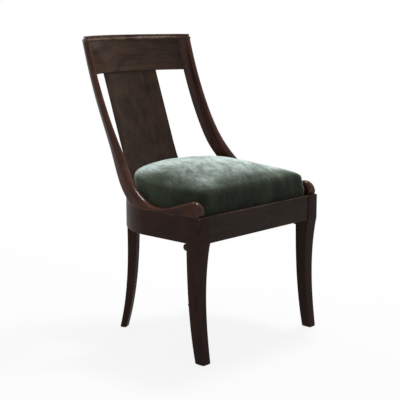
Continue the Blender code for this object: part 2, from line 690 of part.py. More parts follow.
def crest_tenon(grow):
    """Right end tenon of the crest: an oblong in plan that leans back with the stile."""
    middle_z = (CREST_BASE + CAP_BASE) / 2
    reach = CREST_TENON_HEIGHT / 2 + grow
    half = CREST_TENON_THICKNESS / 2 + grow
    rings = []
    for z in (middle_z - reach, middle_z + reach):
        inner, outer = stile_rear(z)
        heel = (inner + outer) / 2
        ahead = np.array([(stile_inner(z) + stile_outer(z)) / 2, heel[1] - STILE_DEPTH_TOP]) - heel
        ahead /= np.linalg.norm(ahead)
        across = np.array([-ahead[1], ahead[0]])
        root, tip = -CREST_TENON_ROOT - grow, CREST_TENON_LENGTH + grow
        corners = [(root, -half), (tip, -half), (tip, half), (root, half)]
        rings.append([(*(heel + a * ahead + b * across), z) for a, b in corners])
    return rings


def offset_outline(outline, distance):
    """Closed outline moved outwards, square to its edges, with mitred corners."""
    before = outline - np.roll(outline, 1, axis=0)
    after = np.roll(outline, -1, axis=0) - outline
    normals = []
    for edge in (before, after):
        normal = np.stack([edge[:, 1], -edge[:, 0]], axis=1)
        normals.append(normal / np.linalg.norm(normal, axis=1)[:, None])
    mitre = normals[0] + normals[1]
    mitre /= 0.5 * (mitre ** 2).sum(axis=1)[:, None]
    return outline + distance * mitre


def crest_cap():
    """Moulded cap over crest and stiles: half-round below, stepped-in band above, rounded at its tips."""
    z = CAP_BASE - FIT
    front, back = crest_band(z, CAP_STEPS, 0.0)
    tip = np.array(stile_rings()[0])[:NOSE_STEPS, :2]
    outline = np.concatenate([tip[::-1] * np.array([-1.0, 1.0]), front, tip, back[::-1]])
    upper = CAP_OVERHANG - CAP_STEP
    profile = [(0.0, 0.0), (CAP_LIP, CAP_OVERHANG)]
    profile += [(CAP_LIP + (CAP_BEAD - CAP_LIP) * math.sin(a), CAP_OVERHANG - CAP_ROUND * (1.0 - math.cos(a)))
                for a in np.linspace(0.0, math.pi / 2, 6)[1:]]
    profile += [(CAP_BEAD, upper), (CAP_HEIGHT - EDGE_CHAMFER, upper), (CAP_HEIGHT, upper - EDGE_CHAMFER)]
    rings = []
    for height, swell in profile:
        rings.append([(*point, CAP_BASE + height) for point in offset_outline(outline, swell)])
    cap = add_part("crest_cap", loft(rings), "mahogany")
    for label, share in (("left", -0.6), ("centre", 0.0), ("right", 0.6)):
        x = share * stile_rear(z)[0][0]
        y = crest_middle(z) - CREST_RADIUS + math.sqrt(CREST_RADIUS ** 2 - x ** 2) + CREST_THICKNESS / 2
        dowel(f"cap_{label}_dowel", (x, y, CAP_BASE - CAP_DOWEL_DEPTH), (x, y, CAP_BASE + CAP_DOWEL_DEPTH),
              CAP_DOWEL_RADIUS, (cap, PARTS["crest_rail"]))
    return cap


def splat_front(z):
    """Depth of the splat's front face at X = 0: straight below the crest, bent forward into the shoe."""
    straight = crest_middle(CREST_BASE) + SPLAT_RECESS - SPLAT_LEAN * (CREST_BASE - z)
    foot = SEAT_DEPTH - RAIL_WALL / 2 - SPLAT_THICKNESS / 2
    level = crest_middle(CREST_BASE) + SPLAT_RECESS - SPLAT_LEAN * (CREST_BASE - SHOE_TOP)
    bend = max(0.0, SHOE_TOP + SPLAT_BEND_HEIGHT - z) / SPLAT_BEND_HEIGHT
    return straight - (level - foot) * bend ** 2


def splat_ring(z, half, front, thickness):
    """Curved band of the splat at height z."""
    xs = np.linspace(-half, half, SPLAT_STEPS_ACROSS)
    bow = CREST_RADIUS - np.sqrt(CREST_RADIUS ** 2 - xs ** 2)
    near = [(x, front - b, z) for x, b in zip(xs, bow)]
    far = [(x, front + thickness - b, z) for x, b in zip(xs, bow)]
    return near + far[::-1]


def splat_tenon(base, direction, grow):
    """Rings of one end tenon of the splat, from its shoulder outwards."""
    half = SPLAT_HALF_WIDTH - SPLAT_TENON_SHOULDER + grow
    thickness = SPLAT_TENON_THICKNESS + 2 * grow
    rings = []
    for z in (base, base + direction * (SPLAT_TENON_LENGTH + grow)):
        front = splat_front(base) + (SPLAT_THICKNESS - thickness) / 2 + STILE_TOP_LEAN * (z - base)
        rings.append(splat_ring(z, half, front, thickness))
    return rings


def splat():
    """Back splat, curved in plan with the crest, tenoned into the crest and the shoe."""
    top, foot = CREST_BASE - FIT, SHOE_TOP + FIT
    bend_top = SHOE_TOP + SPLAT_BEND_HEIGHT
    levels = [*np.linspace(foot, bend_top, SPLAT_STEPS_UP), (bend_top + top) / 2, top]
    body = [splat_ring(z, SPLAT_HALF_WIDTH, splat_front(z), SPLAT_THICKNESS) for z in levels]
    rings = splat_tenon(foot, -1, 0.0)[::-1] + body + splat_tenon(top, 1, 0.0)
    part = add_part("splat", loft(rings), "mahogany")
    boolean(PARTS["crest_rail"], loft(splat_tenon(top, 1, FIT)), "DIFFERENCE", "splat_mortise")
    boolean(PARTS["shoe"], loft(splat_tenon(foot, -1, FIT)[::-1]), "DIFFERENCE", "splat_mortise")
    return part


def shoe():
    """Curved strip on the rear rail that the splat stands in, cut to the heels of the stiles."""
    base, top = RAIL_TOP + FIT, SHOE_TOP
    round_edge = [(SHOE_ROUND * (1.0 - math.cos(a)), top - SHOE_ROUND * (1.0 - math.sin(a)))
                  for a in np.linspace(0.0, math.pi / 2, 3)]
    profile = [(0.0, base), *round_edge, (RAIL_WALL, top), (RAIL_WALL, base)]
    mesh = sweep(arc_path(SHOE_START_ANGLE, math.pi - SHOE_START_ANGLE, SHOE_STEPS), profile)
    front, rear, landing = stile_edges()
    bm = bmesh.new()
    bm.from_mesh(mesh)
    for _, side in SIDES:
        low_in, low_out = stile_corner(landing, ARM_BASE, landing)
        high_in, high_out = stile_rear(SHOE_TOP)
        points = [Vector((side * p[0], p[1] + 2 * FIT, z)) for p, z in
                  ((low_in, ARM_BASE), (low_out, ARM_BASE), (high_in, SHOE_TOP))]
        normal = (points[1] - points[0]).cross(points[2] - points[0]).normalized()
        if normal.y > 0:
            normal.negate()
        cut = bmesh.ops.bisect_plane(bm, geom=bm.verts[:] + bm.edges[:] + bm.faces[:], plane_co=points[0],
                                     plane_no=normal, clear_outer=True)
        edges = [item for item in cut["geom_cut"] if isinstance(item, bmesh.types.BMEdge)]
        bmesh.ops.contextual_create(bm, geom=edges)
    return add_part("shoe", mesh_from(bm, "shoe"), "mahogany")


def screw(name, start, direction, carriers):
    """Countersunk wood screw, turned about its own axis, and its hole in the two pieces that it holds."""
    direction = Vector(direction).normalized()
    place = Matrix.Translation(start) @ direction.to_track_quat("Z", "Y").to_matrix().to_4x4()
    part = add_part(name, screw_profile(0.0), "steel")
    part.matrix_local = place
    turn(part)
    PARTS[name] = part
    for carrier in carriers:
        hole = add_cutter(f"{carrier.name}_{name}_hole", screw_profile(FIT))
        hole.matrix_local = place
        turn(hole)
        modifier = carrier.modifiers.new(f"{name}_hole", "BOOLEAN")
        modifier.operation = "DIFFERENCE"
        modifier.solver = "EXACT"
        modifier.object = hole


def screw_profile(grow):
    """Half outline of a screw along +Z from its head: flat head, cone, shank and point."""
    head, shank = SCREW_HEAD_RADIUS + grow, SCREW_RADIUS + grow
    outline = [(0.0, -grow), (head, -grow), (shank, SCREW_HEAD_HEIGHT + grow),
               (shank, SCREW_LENGTH - SCREW_RADIUS + grow), (0.0, SCREW_LENGTH + grow)]
    mesh = bpy.data.meshes.new("screw_profile")
    points = [(x, 0.0, z) for x, z in outline]
    mesh.from_pydata(points, [(i, i + 1) for i in range(len(points) - 1)], [])
    return mesh


def turn(part):
    """Turn a half outline into a solid about its Z axis."""
    modifier = part.modifiers.new("turn", "SCREW")
    modifier.axis = "Z"
    modifier.steps = ROUND_SIDES
    modifier.render_steps = ROUND_SIDES
    modifier.use_merge_vertices = True
    modifier.merge_threshold = 0.00001
    modifier.use_normal_flip = True


def front_block(side_name, side):
    """Corner block between front rail, leg and side rail, screwed to both rails."""
    inner_x = SEAT_HALF_WIDTH - RAIL_INNER - FIT
    front_y = FRONT_RAIL_BACK + FIT
    outline = [(inner_x - FRONT_BLOCK_REACH, front_y), (LEG_INNER - FIT, front_y),
               (LEG_INNER - FIT, FRONT_LEG_DEPTH), (inner_x, FRONT_LEG_DEPTH),
               (inner_x, front_y + FRONT_BLOCK_REACH)]
    block = block_prism(f"{side_name}_front_block", outline, side)
    middle = FRONT_BLOCK_REACH / 2
    z = LEDGE_Z - BLOCK_HEIGHT / 2
    reach = SCREW_LENGTH - FRONT_RAIL_LIP
    screw(f"{side_name}_front_block_screw_a", (side * (inner_x - middle), front_y + reach, z), (0, -1, 0),
          (block, PARTS["front_rail"]))
    screw(f"{side_name}_front_block_screw_b", (side * (inner_x - reach / 2), front_y + middle + reach / 3, z),
          (side, 0, 0), (block, PARTS[f"{side_name}_side_rail"]))
    return block


def block_prism(name, outline, side):
    """Upright prism under the ledge, from its plan on the right side."""
    top = LEDGE_Z
    rings = [[(x, y, z) for x, y in outline] for z in (top - BLOCK_HEIGHT, top)]
    PARTS[name] = add_part(name, loft(mirrored(rings, side)), "beech")
    return PARTS[name]


def rear_block(side_name, side):
    """Block glued and screwed behind the joint of side rail and rear rail."""
    low, high = REAR_JOINT_ANGLE - REAR_BLOCK_SPAN, REAR_JOINT_ANGLE + REAR_BLOCK_SPAN
    arc = [plan_point(u, RAIL_INNER + FIT)[0] for u in np.linspace(low, high, 7)]
    _, normal = plan_point(REAR_JOINT_ANGLE)
    chord = [arc[-1] - REAR_BLOCK_THICKNESS * normal, arc[0] - REAR_BLOCK_THICKNESS * normal]
    block = block_prism(f"{side_name}_rear_block", arc + chord, side)
    z = LEDGE_Z - BLOCK_HEIGHT / 2
    for label, u, rail in (("a", REAR_JOINT_ANGLE - REAR_BLOCK_SPAN / 2, f"{side_name}_side_rail"),
                           ("b", REAR_JOINT_ANGLE + REAR_BLOCK_SPAN / 2, "rear_rail")):
        point = plan_point(u, RAIL_INNER + FIT)[0] - (SCREW_LENGTH / 2) * normal
        screw(f"{side_name}_rear_block_screw_{label}", (side * point[0], point[1], z),
              (side * normal[0], normal[1], 0.0), (block, PARTS[rail]))
    return block


def seat_outline(inset):
    """Closed D-shaped outline of the drop-in seat, inset from the seat's own edge."""
    edge = SEAT_EDGE + inset
    front = SEAT_FRONT + inset
    side = SEAT_HALF_WIDTH - edge
    turn = SEAT_CORNER
    around = SEAT_OUTLINE_POINTS - 16
    rear = [plan_point(u, edge)[0] for u in np.linspace(0.0, math.pi, around)]
    right = [(side, y) for y in np.linspace(front + turn, SIDE_STRAIGHT, 4)[:-1]]
    corner = [(side - turn + turn * math.cos(a), front + turn - turn * math.sin(a))
              for a in np.linspace(math.pi / 2, 0.0, 4)[:-1]]
    bottom = [(x, front) for x in np.linspace(0.0, side - turn, 3)[:-1]]
    half = bottom + corner + right
    mirror = [(-x, y) for x, y in half[::-1] if x > 0]
    return np.array(half + [tuple(point) for point in rear] + mirror)


def seat_bars():
    """Wooden frame of the drop-in seat: front bar tenoned into two side bars, curved rear bar."""
    inner = BAR_EDGE + SEAT_BAR_WIDTH
    profile = [(BAR_EDGE, BAR_BASE), (BAR_EDGE, BAR_TOP), (inner, BAR_TOP), (inner, BAR_BASE)]
    z = (BAR_BASE + BAR_TOP) / 2
    size_z = SEAT_BAR_HEIGHT / 3
    for side_name, side in SIDES:
        outward = np.array([1.0, 0.0])
        path = [(np.array([SEAT_HALF_WIDTH, BAR_FRONT]), outward)] + arc_path(0.0, REAR_JOINT_ANGLE, 9)
        path = [(point * np.array([side, 1.0]), normal * np.array([side, 1.0])) for point, normal in path]
        bar = add_part(f"{side_name}_seat_bar", sweep(path, profile), "beech")
        corner = box((side * (SEAT_HALF_WIDTH - BAR_EDGE), BAR_FRONT, z),
                     (SEAT_BAR_CORNER, SEAT_BAR_CORNER, 2 * SEAT_BAR_HEIGHT), math.pi / 4)
        boolean(bar, corner, "DIFFERENCE", "corner")
        PARTS[f"{side_name}_seat_bar"] = bar
    half = SEAT_HALF_WIDTH - inner - FIT
    size = (2 * half, SEAT_BAR_WIDTH, SEAT_BAR_HEIGHT)
    front = add_part("front_seat_bar", box((0.0, BAR_FRONT + SEAT_BAR_WIDTH / 2, z), size), "beech")
    gap = FIT / SEAT_DEPTH * 2
    rear_path = arc_path(REAR_JOINT_ANGLE + gap, math.pi - REAR_JOINT_ANGLE - gap, REAR_RAIL_STEPS - 2)
    rear = add_part("rear_seat_bar", sweep(rear_path, profile), "beech")
    middle, normal = plan_point(REAR_JOINT_ANGLE, (BAR_EDGE + inner) / 2)
    for side_name, side in SIDES:
        bar = PARTS[f"{side_name}_seat_bar"]
        centre = (side * half, BAR_FRONT + SEAT_BAR_WIDTH / 2, z)
        size = (2 * SEAT_BAR_TENON_LENGTH, SEAT_BAR_TENON, size_z)
        tenon(front, bar, centre, size, 0.0, f"{side_name}_tenon")
        yaw = -side * math.atan2(normal[0], normal[1])
        tenon(rear, bar, (side * middle[0], middle[1], z), size, yaw, f"{side_name}_tenon")
    PARTS["front_seat_bar"], PARTS["rear_seat_bar"] = front, rear


def strap_rings(line, width_axis, lift):
    """Sections of a flat strap along a line of points, with a height for each."""
    rings = []
    for point, rise in zip(line, lift):
        corners = []
        for across, up in ((-0.5, -0.5), (0.5, -0.5), (0.5, 0.5), (-0.5, 0.5)):
            place = np.array([*point, STRAP_Z + rise + up * STRAP_THICKNESS])
            place[width_axis] += across * STRAP_WIDTH
            corners.append(tuple(place))
        rings.append(corners)
    return rings


def inside_x(y):
    """Half width of the seat frame's opening at depth y."""
    inset = BAR_EDGE + SEAT_BAR_WIDTH
    curve = np.array([plan_point(u, inset)[0] for u in np.linspace(0.0, math.pi / 2, 60)])
    if y <= curve[0][1]:
        return SEAT_HALF_WIDTH - inset
    return float(np.interp(y, curve[:, 1], curve[:, 0]))


def inside_back(x):
    """Depth of the seat frame's opening at x."""
    inset = BAR_EDGE + SEAT_BAR_WIDTH
    curve = np.array([plan_point(u, inset)[0] for u in np.linspace(0.0, math.pi / 2, 60)])
    return float(np.interp(abs(x), curve[::-1, 0], curve[::-1, 1]))


def straps():
    """Woven webbing: straps front to back and straps across, over and under each other."""
    front = BAR_FRONT + SEAT_BAR_WIDTH
    span_y = inside_back(0.0) - front
    span_x = 2 * (SEAT_HALF_WIDTH - BAR_EDGE - SEAT_BAR_WIDTH)
    columns = [STRAP_SPREAD * ((i + 0.5) / STRAPS_ALONG - 0.5) * span_x for i in range(STRAPS_ALONG)]
    rows = [front + (i + 0.5) / (STRAPS_ACROSS + 0.5) * span_y for i in range(STRAPS_ACROSS)]
    crossing = STRAP_WEAVE + STRAP_THICKNESS / 2
    for i, x in enumerate(columns):
        back = inside_back(abs(x) + STRAP_WIDTH / 2) + STRAP_LAP
        line, lift = weave_line(front - STRAP_LAP, back, rows, i, crossing)
        rings = strap_rings([(x, y) for y in line], 0, lift)
        PARTS[f"strap_along_{i + 1}"] = add_part(f"strap_along_{i + 1}", loft(rings), "webbing")
    for j, y in enumerate(rows):
        reach = min(inside_x(y - STRAP_WIDTH / 2), inside_x(y + STRAP_WIDTH / 2) + STRAP_LAP / 2) + STRAP_LAP
        line, lift = weave_line(-reach, reach, columns, j + 1, crossing)
        rings = strap_rings([(x, y) for x in line], 1, lift)
        PARTS[f"strap_across_{j + 1}"] = add_part(f"strap_across_{j + 1}", loft(rings), "webbing")


def weave_line(start, end, crossings, parity, lift):
    """Stations along a strap and its height at each: up or down over the full width of each crossing."""
    half = STRAP_WIDTH / 2
    stations, heights = [start], [0.0]
    for k, place in enumerate(crossings):
        sign = 1.0 if (k + parity) % 2 == 0 else -1.0
        stations += [place - half, place + half]
        heights += [sign * lift, sign * lift]
    return stations + [end], heights + [0.0]


def base_cloth():
    """Hessian over the webbing, under the stuffing."""
    outline = seat_outline(SIDE_DRAW + COVER_THICKNESS + 2 * FIT)
    rings = [[(x, y, z) for x, y in outline] for z in (CLOTH_Z, CLOTH_Z + CLOTH_THICKNESS)]
    return add_part("base_cloth", loft(rings), "hessian")


def seat_profile(thin):
    """Edge of the cushion at the front and at the rear: rows of front inset, front z, rear inset, rear z.

    Both start on the seat frame and pass the shoe with a drawn-in neck. The front then stands nearly
    upright to a small roll, the rear swells out over the shoe in a large one. thin is how far the
    surface lies inside the cover's outer face.
    """
    neck = SHOE_TOP + NECK_RISE
    front, rear = RAIL_TOP + FRONT_EDGE_HEIGHT, RAIL_TOP + REAR_EDGE_HEIGHT
    rows = [(SIDE_DRAW, PAD_BASE, SIDE_DRAW, PAD_BASE, 0.0), (0.0, neck, 0.0, neck, 0.0)]
    for share, swell in SIDE_SWELL:
        front_z, rear_z = neck + share * (front - neck), neck + share * (rear - neck)
        rows.append((0.0, front_z, -swell * REAR_BULGE, rear_z, 0.0))
    for turn, swell in ROLL_SWELL:
        lift = FRONT_ROLL_RISE * (1.0 - math.sin(turn))
        rows.append((FRONT_ROLL * (1.0 - math.cos(turn)), front - lift,
                     -swell * REAR_BULGE, rear - REAR_BULGE * (1.0 - math.sin(turn)), math.sin(turn)))
    return [(a + thin, b - thin * top, c + thin, d - thin * top) for a, b, c, d, top in rows]


def seat_sections(thin):
    """Rings of the upholstered shape: up the edge, blended from front to rear, then over the crown."""
    middle = np.array([0.0, (SEAT_FRONT + SEAT_DEPTH - SEAT_EDGE) / 2])
    crown = RAIL_TOP + SEAT_CROWN - thin
    base = seat_outline(0.0)
    swell_start, swell_run = REAR_SWELL_START * np.array([SIDE_STRAIGHT, SEAT_DEPTH - SIDE_STRAIGHT])
    behind = np.clip((base[:, 1] - swell_start) / swell_run, 0.0, 1.0)
    behind = behind * behind * (3.0 - 2.0 * behind)
    rings = []
    for front_inset, front_z, rear_inset, rear_z in seat_profile(thin):
        plain, swollen = seat_outline(front_inset), seat_outline(rear_inset)
        plan = plain + behind[:, None] * (swollen - plain)
        rings.append(np.column_stack([plan, front_z + behind * (rear_z - front_z)]))
    edge = rings[-1]
    for share in CROWN_SHARES:
        ring = edge.copy()
        ring[:, :2] = middle + share * (edge[:, :2] - middle)
        ring[:, 2] = edge[:, 2] + (crown - edge[:, 2]) * (1.0 - share ** CROWN_POWER)
        rings.append(ring)
    return [ring.tolist() for ring in rings]


def seat_pad():
    """Stuffing: a crowned pad on the base cloth."""
    slack = COVER_THICKNESS + FIT
    rings = seat_sections(slack)[::-1]
    return add_part("seat_pad", loft(rings, split=True), "horsehair")


def velvet_cover():
    """Velvet cover: shell over the pad, down the sides of the seat frame and turned under it."""
    outer = seat_sections(0.0)
    inner = seat_sections(COVER_THICKNESS)
    low = [[(*point, HEM_Z) for point in seat_outline(inset)] for inset in (COVER_HEM, SIDE_DRAW)]
    low_inner = [[(*point, HEM_Z + COVER_THICKNESS) for point in seat_outline(inset)]
                 for inset in (COVER_HEM, COVER_THICKNESS + SIDE_DRAW)]
    loops = inner[::-1] + low_inner[::-1] + low + outer
    return add_part("velvet_cover", loft(loops, split=True), "velvet")


def dust_cloth():
    """Black cloth tacked under the seat frame, inside the ledge."""
    outline = seat_outline(COVER_HEM + DUST_CLOTH_INSET - SEAT_LEDGE)
    top = BAR_BASE - FIT
    rings = [[(x, y, z) for x, y in outline] for z in (top - CLOTH_THICKNESS, top)]
    return add_part("dust_cloth", loft(rings), "black_cambric")


def middle_depth():
    """Depth half way between the toes of the front legs and the back of the cap."""
    toes = min(vertex.co.y for vertex in PARTS["left_front_leg"].data.vertices)
    back = max(vertex.co.y for vertex in PARTS["crest_cap"].data.vertices)
    return (toes + back) / 2


def main():
    """Model the chair piece by piece."""
    for side_name, side in SIDES:
        PARTS[f"{side_name}_front_leg"] = front_leg(side_name, side)
    PARTS["front_rail"] = front_rail()
    for side_name, side in SIDES:
        PARTS[f"{side_name}_side_rail"] = side_rail(side_name, side)
    PARTS["rear_rail"] = rear_rail()
    for side_name, side in SIDES:
        PARTS[f"{side_name}_rear_leg"] = rear_leg(side_name, side)
        PARTS[f"{side_name}_stile"] = stile(side_name, side)
    PARTS["crest_rail"] = crest()
    PARTS["crest_cap"] = crest_cap()
    PARTS["shoe"] = shoe()
    PARTS["splat"] = splat()
    for side_name, side in SIDES:
        front_block(side_name, side)
        rear_block(side_name, side)
    seat_bars()
    straps()
    PARTS["base_cloth"] = base_cloth()
    PARTS["seat_pad"] = seat_pad()
    PARTS["velvet_cover"] = velvet_cover()
    PARTS["dust_cloth"] = dust_cloth()
    ROOT.location = (0.0, -middle_depth(), 0.0)


ROOT = empty_scene()
PARTS = {}
main()
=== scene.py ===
"""Gondola chair, dressed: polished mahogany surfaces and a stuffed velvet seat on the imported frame.

Metres, +Z up, chair facing -Y. Depths are worked out behind the front face of the leg blocks
and moved to the frame's own origin when a surface becomes a mesh.
"""

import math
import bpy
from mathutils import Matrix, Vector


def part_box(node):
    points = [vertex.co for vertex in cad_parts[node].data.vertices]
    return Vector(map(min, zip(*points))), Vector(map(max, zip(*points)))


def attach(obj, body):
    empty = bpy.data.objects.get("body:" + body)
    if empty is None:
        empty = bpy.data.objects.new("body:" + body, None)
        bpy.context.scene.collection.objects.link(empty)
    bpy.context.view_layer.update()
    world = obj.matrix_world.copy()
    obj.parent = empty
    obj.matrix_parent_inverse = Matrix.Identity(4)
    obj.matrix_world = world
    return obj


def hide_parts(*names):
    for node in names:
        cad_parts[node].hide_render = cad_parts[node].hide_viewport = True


bl_info = {
    "name": "Gondola Chair Finish",
    "version": (1, 0, 0),
    "blender": (4, 5, 0),
    "location": "3D View > Sidebar > Chair",
    "description": "Polished wood surfaces, a stuffed velvet seat and a pale studio for a gondola chair",
    "category": "Object",
}

import bpy
import numpy as np

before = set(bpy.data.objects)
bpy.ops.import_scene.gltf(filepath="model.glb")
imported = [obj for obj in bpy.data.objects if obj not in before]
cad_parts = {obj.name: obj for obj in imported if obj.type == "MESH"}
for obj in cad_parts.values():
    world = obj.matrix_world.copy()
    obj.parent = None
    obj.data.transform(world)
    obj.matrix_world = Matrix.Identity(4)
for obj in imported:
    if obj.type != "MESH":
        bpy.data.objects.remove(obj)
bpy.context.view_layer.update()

SIDES = (("left", -1.0), ("right", 1.0))
# Gap between neighbouring pieces, and the angle from which an edge is shaded sharp
FIT = 0.0003
SHARP_EDGE = math.radians(40.0)


def lowest(node, axis):
    """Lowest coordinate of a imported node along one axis."""
    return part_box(node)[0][axis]


def highest(node, axis):
    """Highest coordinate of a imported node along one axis."""
    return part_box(node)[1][axis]


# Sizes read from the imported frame
RAIL_SETBACK = 0.002
MIDDLE = RAIL_SETBACK - lowest("front_rail", 1)
HALF_WIDTH = highest("right_side_rail", 0)
SEAT_DEPTH = highest("rear_rail", 1) + MIDDLE
RAIL_TOP = highest("front_rail", 2)
RAIL_BOTTOM = lowest("front_rail", 2)
SHOE_TOP = highest("shoe", 2)
CREST_BASE = lowest("crest_rail", 2)
CAP_BASE = lowest("crest_cap", 2)
CAP_TOP = highest("crest_cap", 2)
HEM_Z = lowest("velvet_cover", 2)
PAD_BASE = lowest("seat_pad", 2)
CLOTH_TOP = highest("dust_cloth", 2)
CROWN_Z = highest("velvet_cover", 2)

# Plan of the seat rails and their section
SIDE_STRAIGHT = 0.195
PLAN_ROUNDNESS = 1.85
RAIL_WALL = 0.030
LEDGE_WIDTH = 0.0175
REBATE_DEPTH = 0.016
FRONT_LIP = 0.011
JOINT_ANGLE = math.radians(67)

# Legs
LEG_WIDTH = 0.042
LEG_DEPTH = 0.045
LEG_CORNER = 0.005
FOOT_WIDTH = 0.0268
FOOT_DEPTH = 0.029
LEG_BOW = 0.0113
LEG_KICK = 0.0084
BOW_POWER = 0.8
KICK_POWER = 3.0
BACK_POWER = 2.75
BLOCK_ROUND = 0.004
FOOT_ROUND = 0.0042
EAR_RADIUS = 0.009
EAR_REACH = 0.0125
EAR_DROP = 0.0015
EAR_INSET = 0.0022
REAR_LEG_INSET = 0.1035
REAR_LEG_SETBACK = 0.0654
REAR_LEG_YAW = math.radians(22)
REAR_LEG_SIZE = (0.0247, 0.0288)
REAR_FOOT_SIZE = (0.0191, 0.0181)
REAR_LEG_KICK = 0.0448
REAR_LEG_TUCK = 0.0015
REAR_KICK_POWER = 2.55
REAR_LEG_EASE = 1.3

# Stiles
STILE_RAKE = 0.0422
STILE_LEAN = 0.273
STILE_TOP_PULL = 0.217
STILE_DIP_PULL = 0.1225
STILE_INNER = 0.191
STILE_WIDTH = 0.0162
STILE_DEPTH_TOP = 0.0295
STILE_DEPTH_FOOT = 0.0457
STILE_FLARE = (0.102, 2.0)
INNER_FLARE = (0.087, 3.0)
STILE_TURN = 0.0036
STILE_SKEW = (0.0039, 0.0093)
STILE_NOSE = 0.009
# Depth of the rounded front edge as shown, worn rounder than it was cut
SHOWN_NOSE = 0.012
NOSE_LIMIT = 0.6
NOSE_POWER = 0.9
ARM_DIP = (0.1525, 0.0075)
KNOB = (0.031, 0.0375)
KNOB_FRONT = 0.0065
KNOB_ROUND = 0.022
KNOB_PULL = 0.045
KNOB_TOE = 0.004

# Crest, cap and splat
CAP_BEAD = 0.0080
CAP_TIP_STEPS = 13
CAP_TIP_BEND = 0.84 * math.pi
CAP_TIP_LIMIT = 0.45
CAP_LIP = 0.0020
CAP_OVERHANG = 0.0012
CAP_STEP = 0.0045
CAP_ROUND = 0.0036
CREST_RADIUS = 0.310
CREST_THICKNESS = 0.018
SPLAT_HALF = 0.1007
SPLAT_THICKNESS = 0.010
SPLAT_RECESS = 0.003
SPLAT_LEAN = 0.350
SPLAT_BEND = 0.108
SHOE_ROUND = 0.004

# Drop-in seat
SEAT_PLAY = 0.0025
SEAT_CORNER = 0.010
COVER_THICKNESS = 0.0015
COVER_HEM = 0.016
HEM_OUT = 0.0014
HEM_NECK = 0.0022
HEM_TUCK = 0.0052
SIDE_DRAW = 0.0025
NECK_RISE = 0.003
REAR_BULGE = 0.018
SWELL_START = 0.8
SWELL_ROOM = 0.002
FRONT_EDGE = 0.064
REAR_EDGE = 0.083
FRONT_ROLL = (0.020, 0.0072, 0.63)
REAR_ROLL = (0.0324, 0.018, 1.05)
SIDE_SWELL = ((0.27, 0.7), (0.55, 1.0))
ROLL_SHARES = (0.35, 0.7, 1.0)
CROWN_POWER = 2.1
CROWN_CENTRE = 0.03
HEM_RADII = (0.0003, 0.005, 0.004, 0.0012, 0.0006, 0.0006, 0.0002, 0.004, 0.005, 0.0003)

# Stuffing: size of the even mesh, push and frames of the cloth, and how its give grows with height
VOXEL = 0.0045
PRESSURE = 4.0
SIM_FRAMES = (1, 20)
PINNED_BELOW = PAD_BASE + 0.006
GIVES_ABOVE = PAD_BASE + 0.003
FREE_ABOVE = SHOE_TOP + 0.022
NEIGHBOUR_PULL = 0.5
SHAPE_ROUNDS = 24
TRAVEL_ROUNDS = 40

# Dust cloth and its tacks
CLOTH_INSET = 0.024
CLOTH_THICKNESS = 0.0008
CLOTH_SAG = 0.002
CLOTH_CENTRE = 0.02
TACK_COUNT = 34
TACK_INSET = CLOTH_INSET + 0.006
TACK_RADIUS = 0.0028
TACK_TIP = 0.0002
TACK_RISE = 0.0012
TACK_GAP = 0.0002
TACK_SHARP_EDGE = math.radians(50.0)

# Where each plank lies from the one before it in the same block of wood
PLANK_SHIFT = (1.7, 0.31, 0.23)
# How far each kind of piece is stained to red, how much darker it has gone, and the darkest stain
RED_SHARE = {"stile": 1.0, "side_rail": 0.7, "front_leg": 1.0, "rear_leg": 1.0, "rear_rail": 0.6}
DARK_SHARE = {"splat": 0.37, "crest_rail": 0.25, "side_rail": 0.70, "front_leg": 0.79, "rear_leg": 0.72,
              "rear_rail": 0.66, "front_rail": 0.70}
# Stiles: darker stain throughout, plus painted shade on the flat sides and towards the edges of the rounded
# front
STILE_SIDE_DARK_AND_SHADE = 0.48
STILE_NOSE_DARK_AND_SHADE = (0.32, 0.16)
DARKEST = (0.004, 0.0016, 0.001)
# Gloss where hands have rubbed the polish up, and elsewhere
GLOSS = {"stile": 0.24}
DULL_GLOSS = 0.15
# Wear of rounded edges and of ends; on the cap partly painted light: the cap paler all over and a painted
# highlight along its bead
NOSE_WEAR = 0.25
CREST_WEAR = 0.6
CAP_WEAR_AND_PAINTED_LIGHT, BEAD_WEAR_AND_HIGHLIGHT, CAP_EDGE_WEAR = 0.35, 0.65, 0.5
LEG_EDGE_WEAR, LEG_END_WEAR = 0.1, 0.25

# Mahogany: noise scales along, across and through the grain, the noise they show and what it becomes
PATCHES, RIBBON, PORES = (9.0, 20.0, 20.0), (4.0, 110.0, 110.0), (38.0, 1500.0, 1500.0)
RIBBON_SHARE, PATCH_SHARE = 0.35, 0.65
FIGURE_RANGE = (0.32, 0.68)
PORE_RANGE = (0.56, 0.68, 0.0, 0.6)
RUB_RANGE = (0.42, 0.62, 0.1, 0.7)
ROUGH_RANGE = (0.3, 0.7, -0.05, 0.08)
PATCH_RELIEF, PORE_RELIEF, WOOD_RELIEF = 0.5, 0.35, 0.0003
WOOD_SPECULAR, COAT_ROUGHNESS = 0.02, 0.18

# Velvet: direction of the brush, noise scales, and where crushed and brushed pile show painted sheen at a
# slant and painted light on the flanks
BRUSHED = math.radians(26.0)
CRUSH, STREAKS, PILE = (26.0, 12.0, 14.0), (120.0, 30.0, 60.0), (2600.0, 2600.0, 2600.0)
CRUSH_SHARE, STREAK_SHARE = 0.55, 0.45
LAY_RANGE = (0.36, 0.64)
PILE_RANGE = (0.35, 0.65, 0.0, 0.35)
LAY_RELIEF, PILE_RELIEF, VELVET_RELIEF, RELIEF_STRENGTH = 2.0, 0.4, 0.0006, 0.7
STIRRED = 0.18
# Painted light on the flanks, lighter than the front, and painted sheen (nap colour) on pile seen at a slant
PAINTED_FLANK_X, PAINTED_FLANK_Y = (0.09, 0.17), (-0.20, 0.04, 0.12, 0.75)
PAINTED_NAP_RANGE, PAINTED_NAP_POWER, PAINTED_NAP_LAY = (0.30, 0.70), 1.5, (0.36, 0.64, 0.75, 1.1)
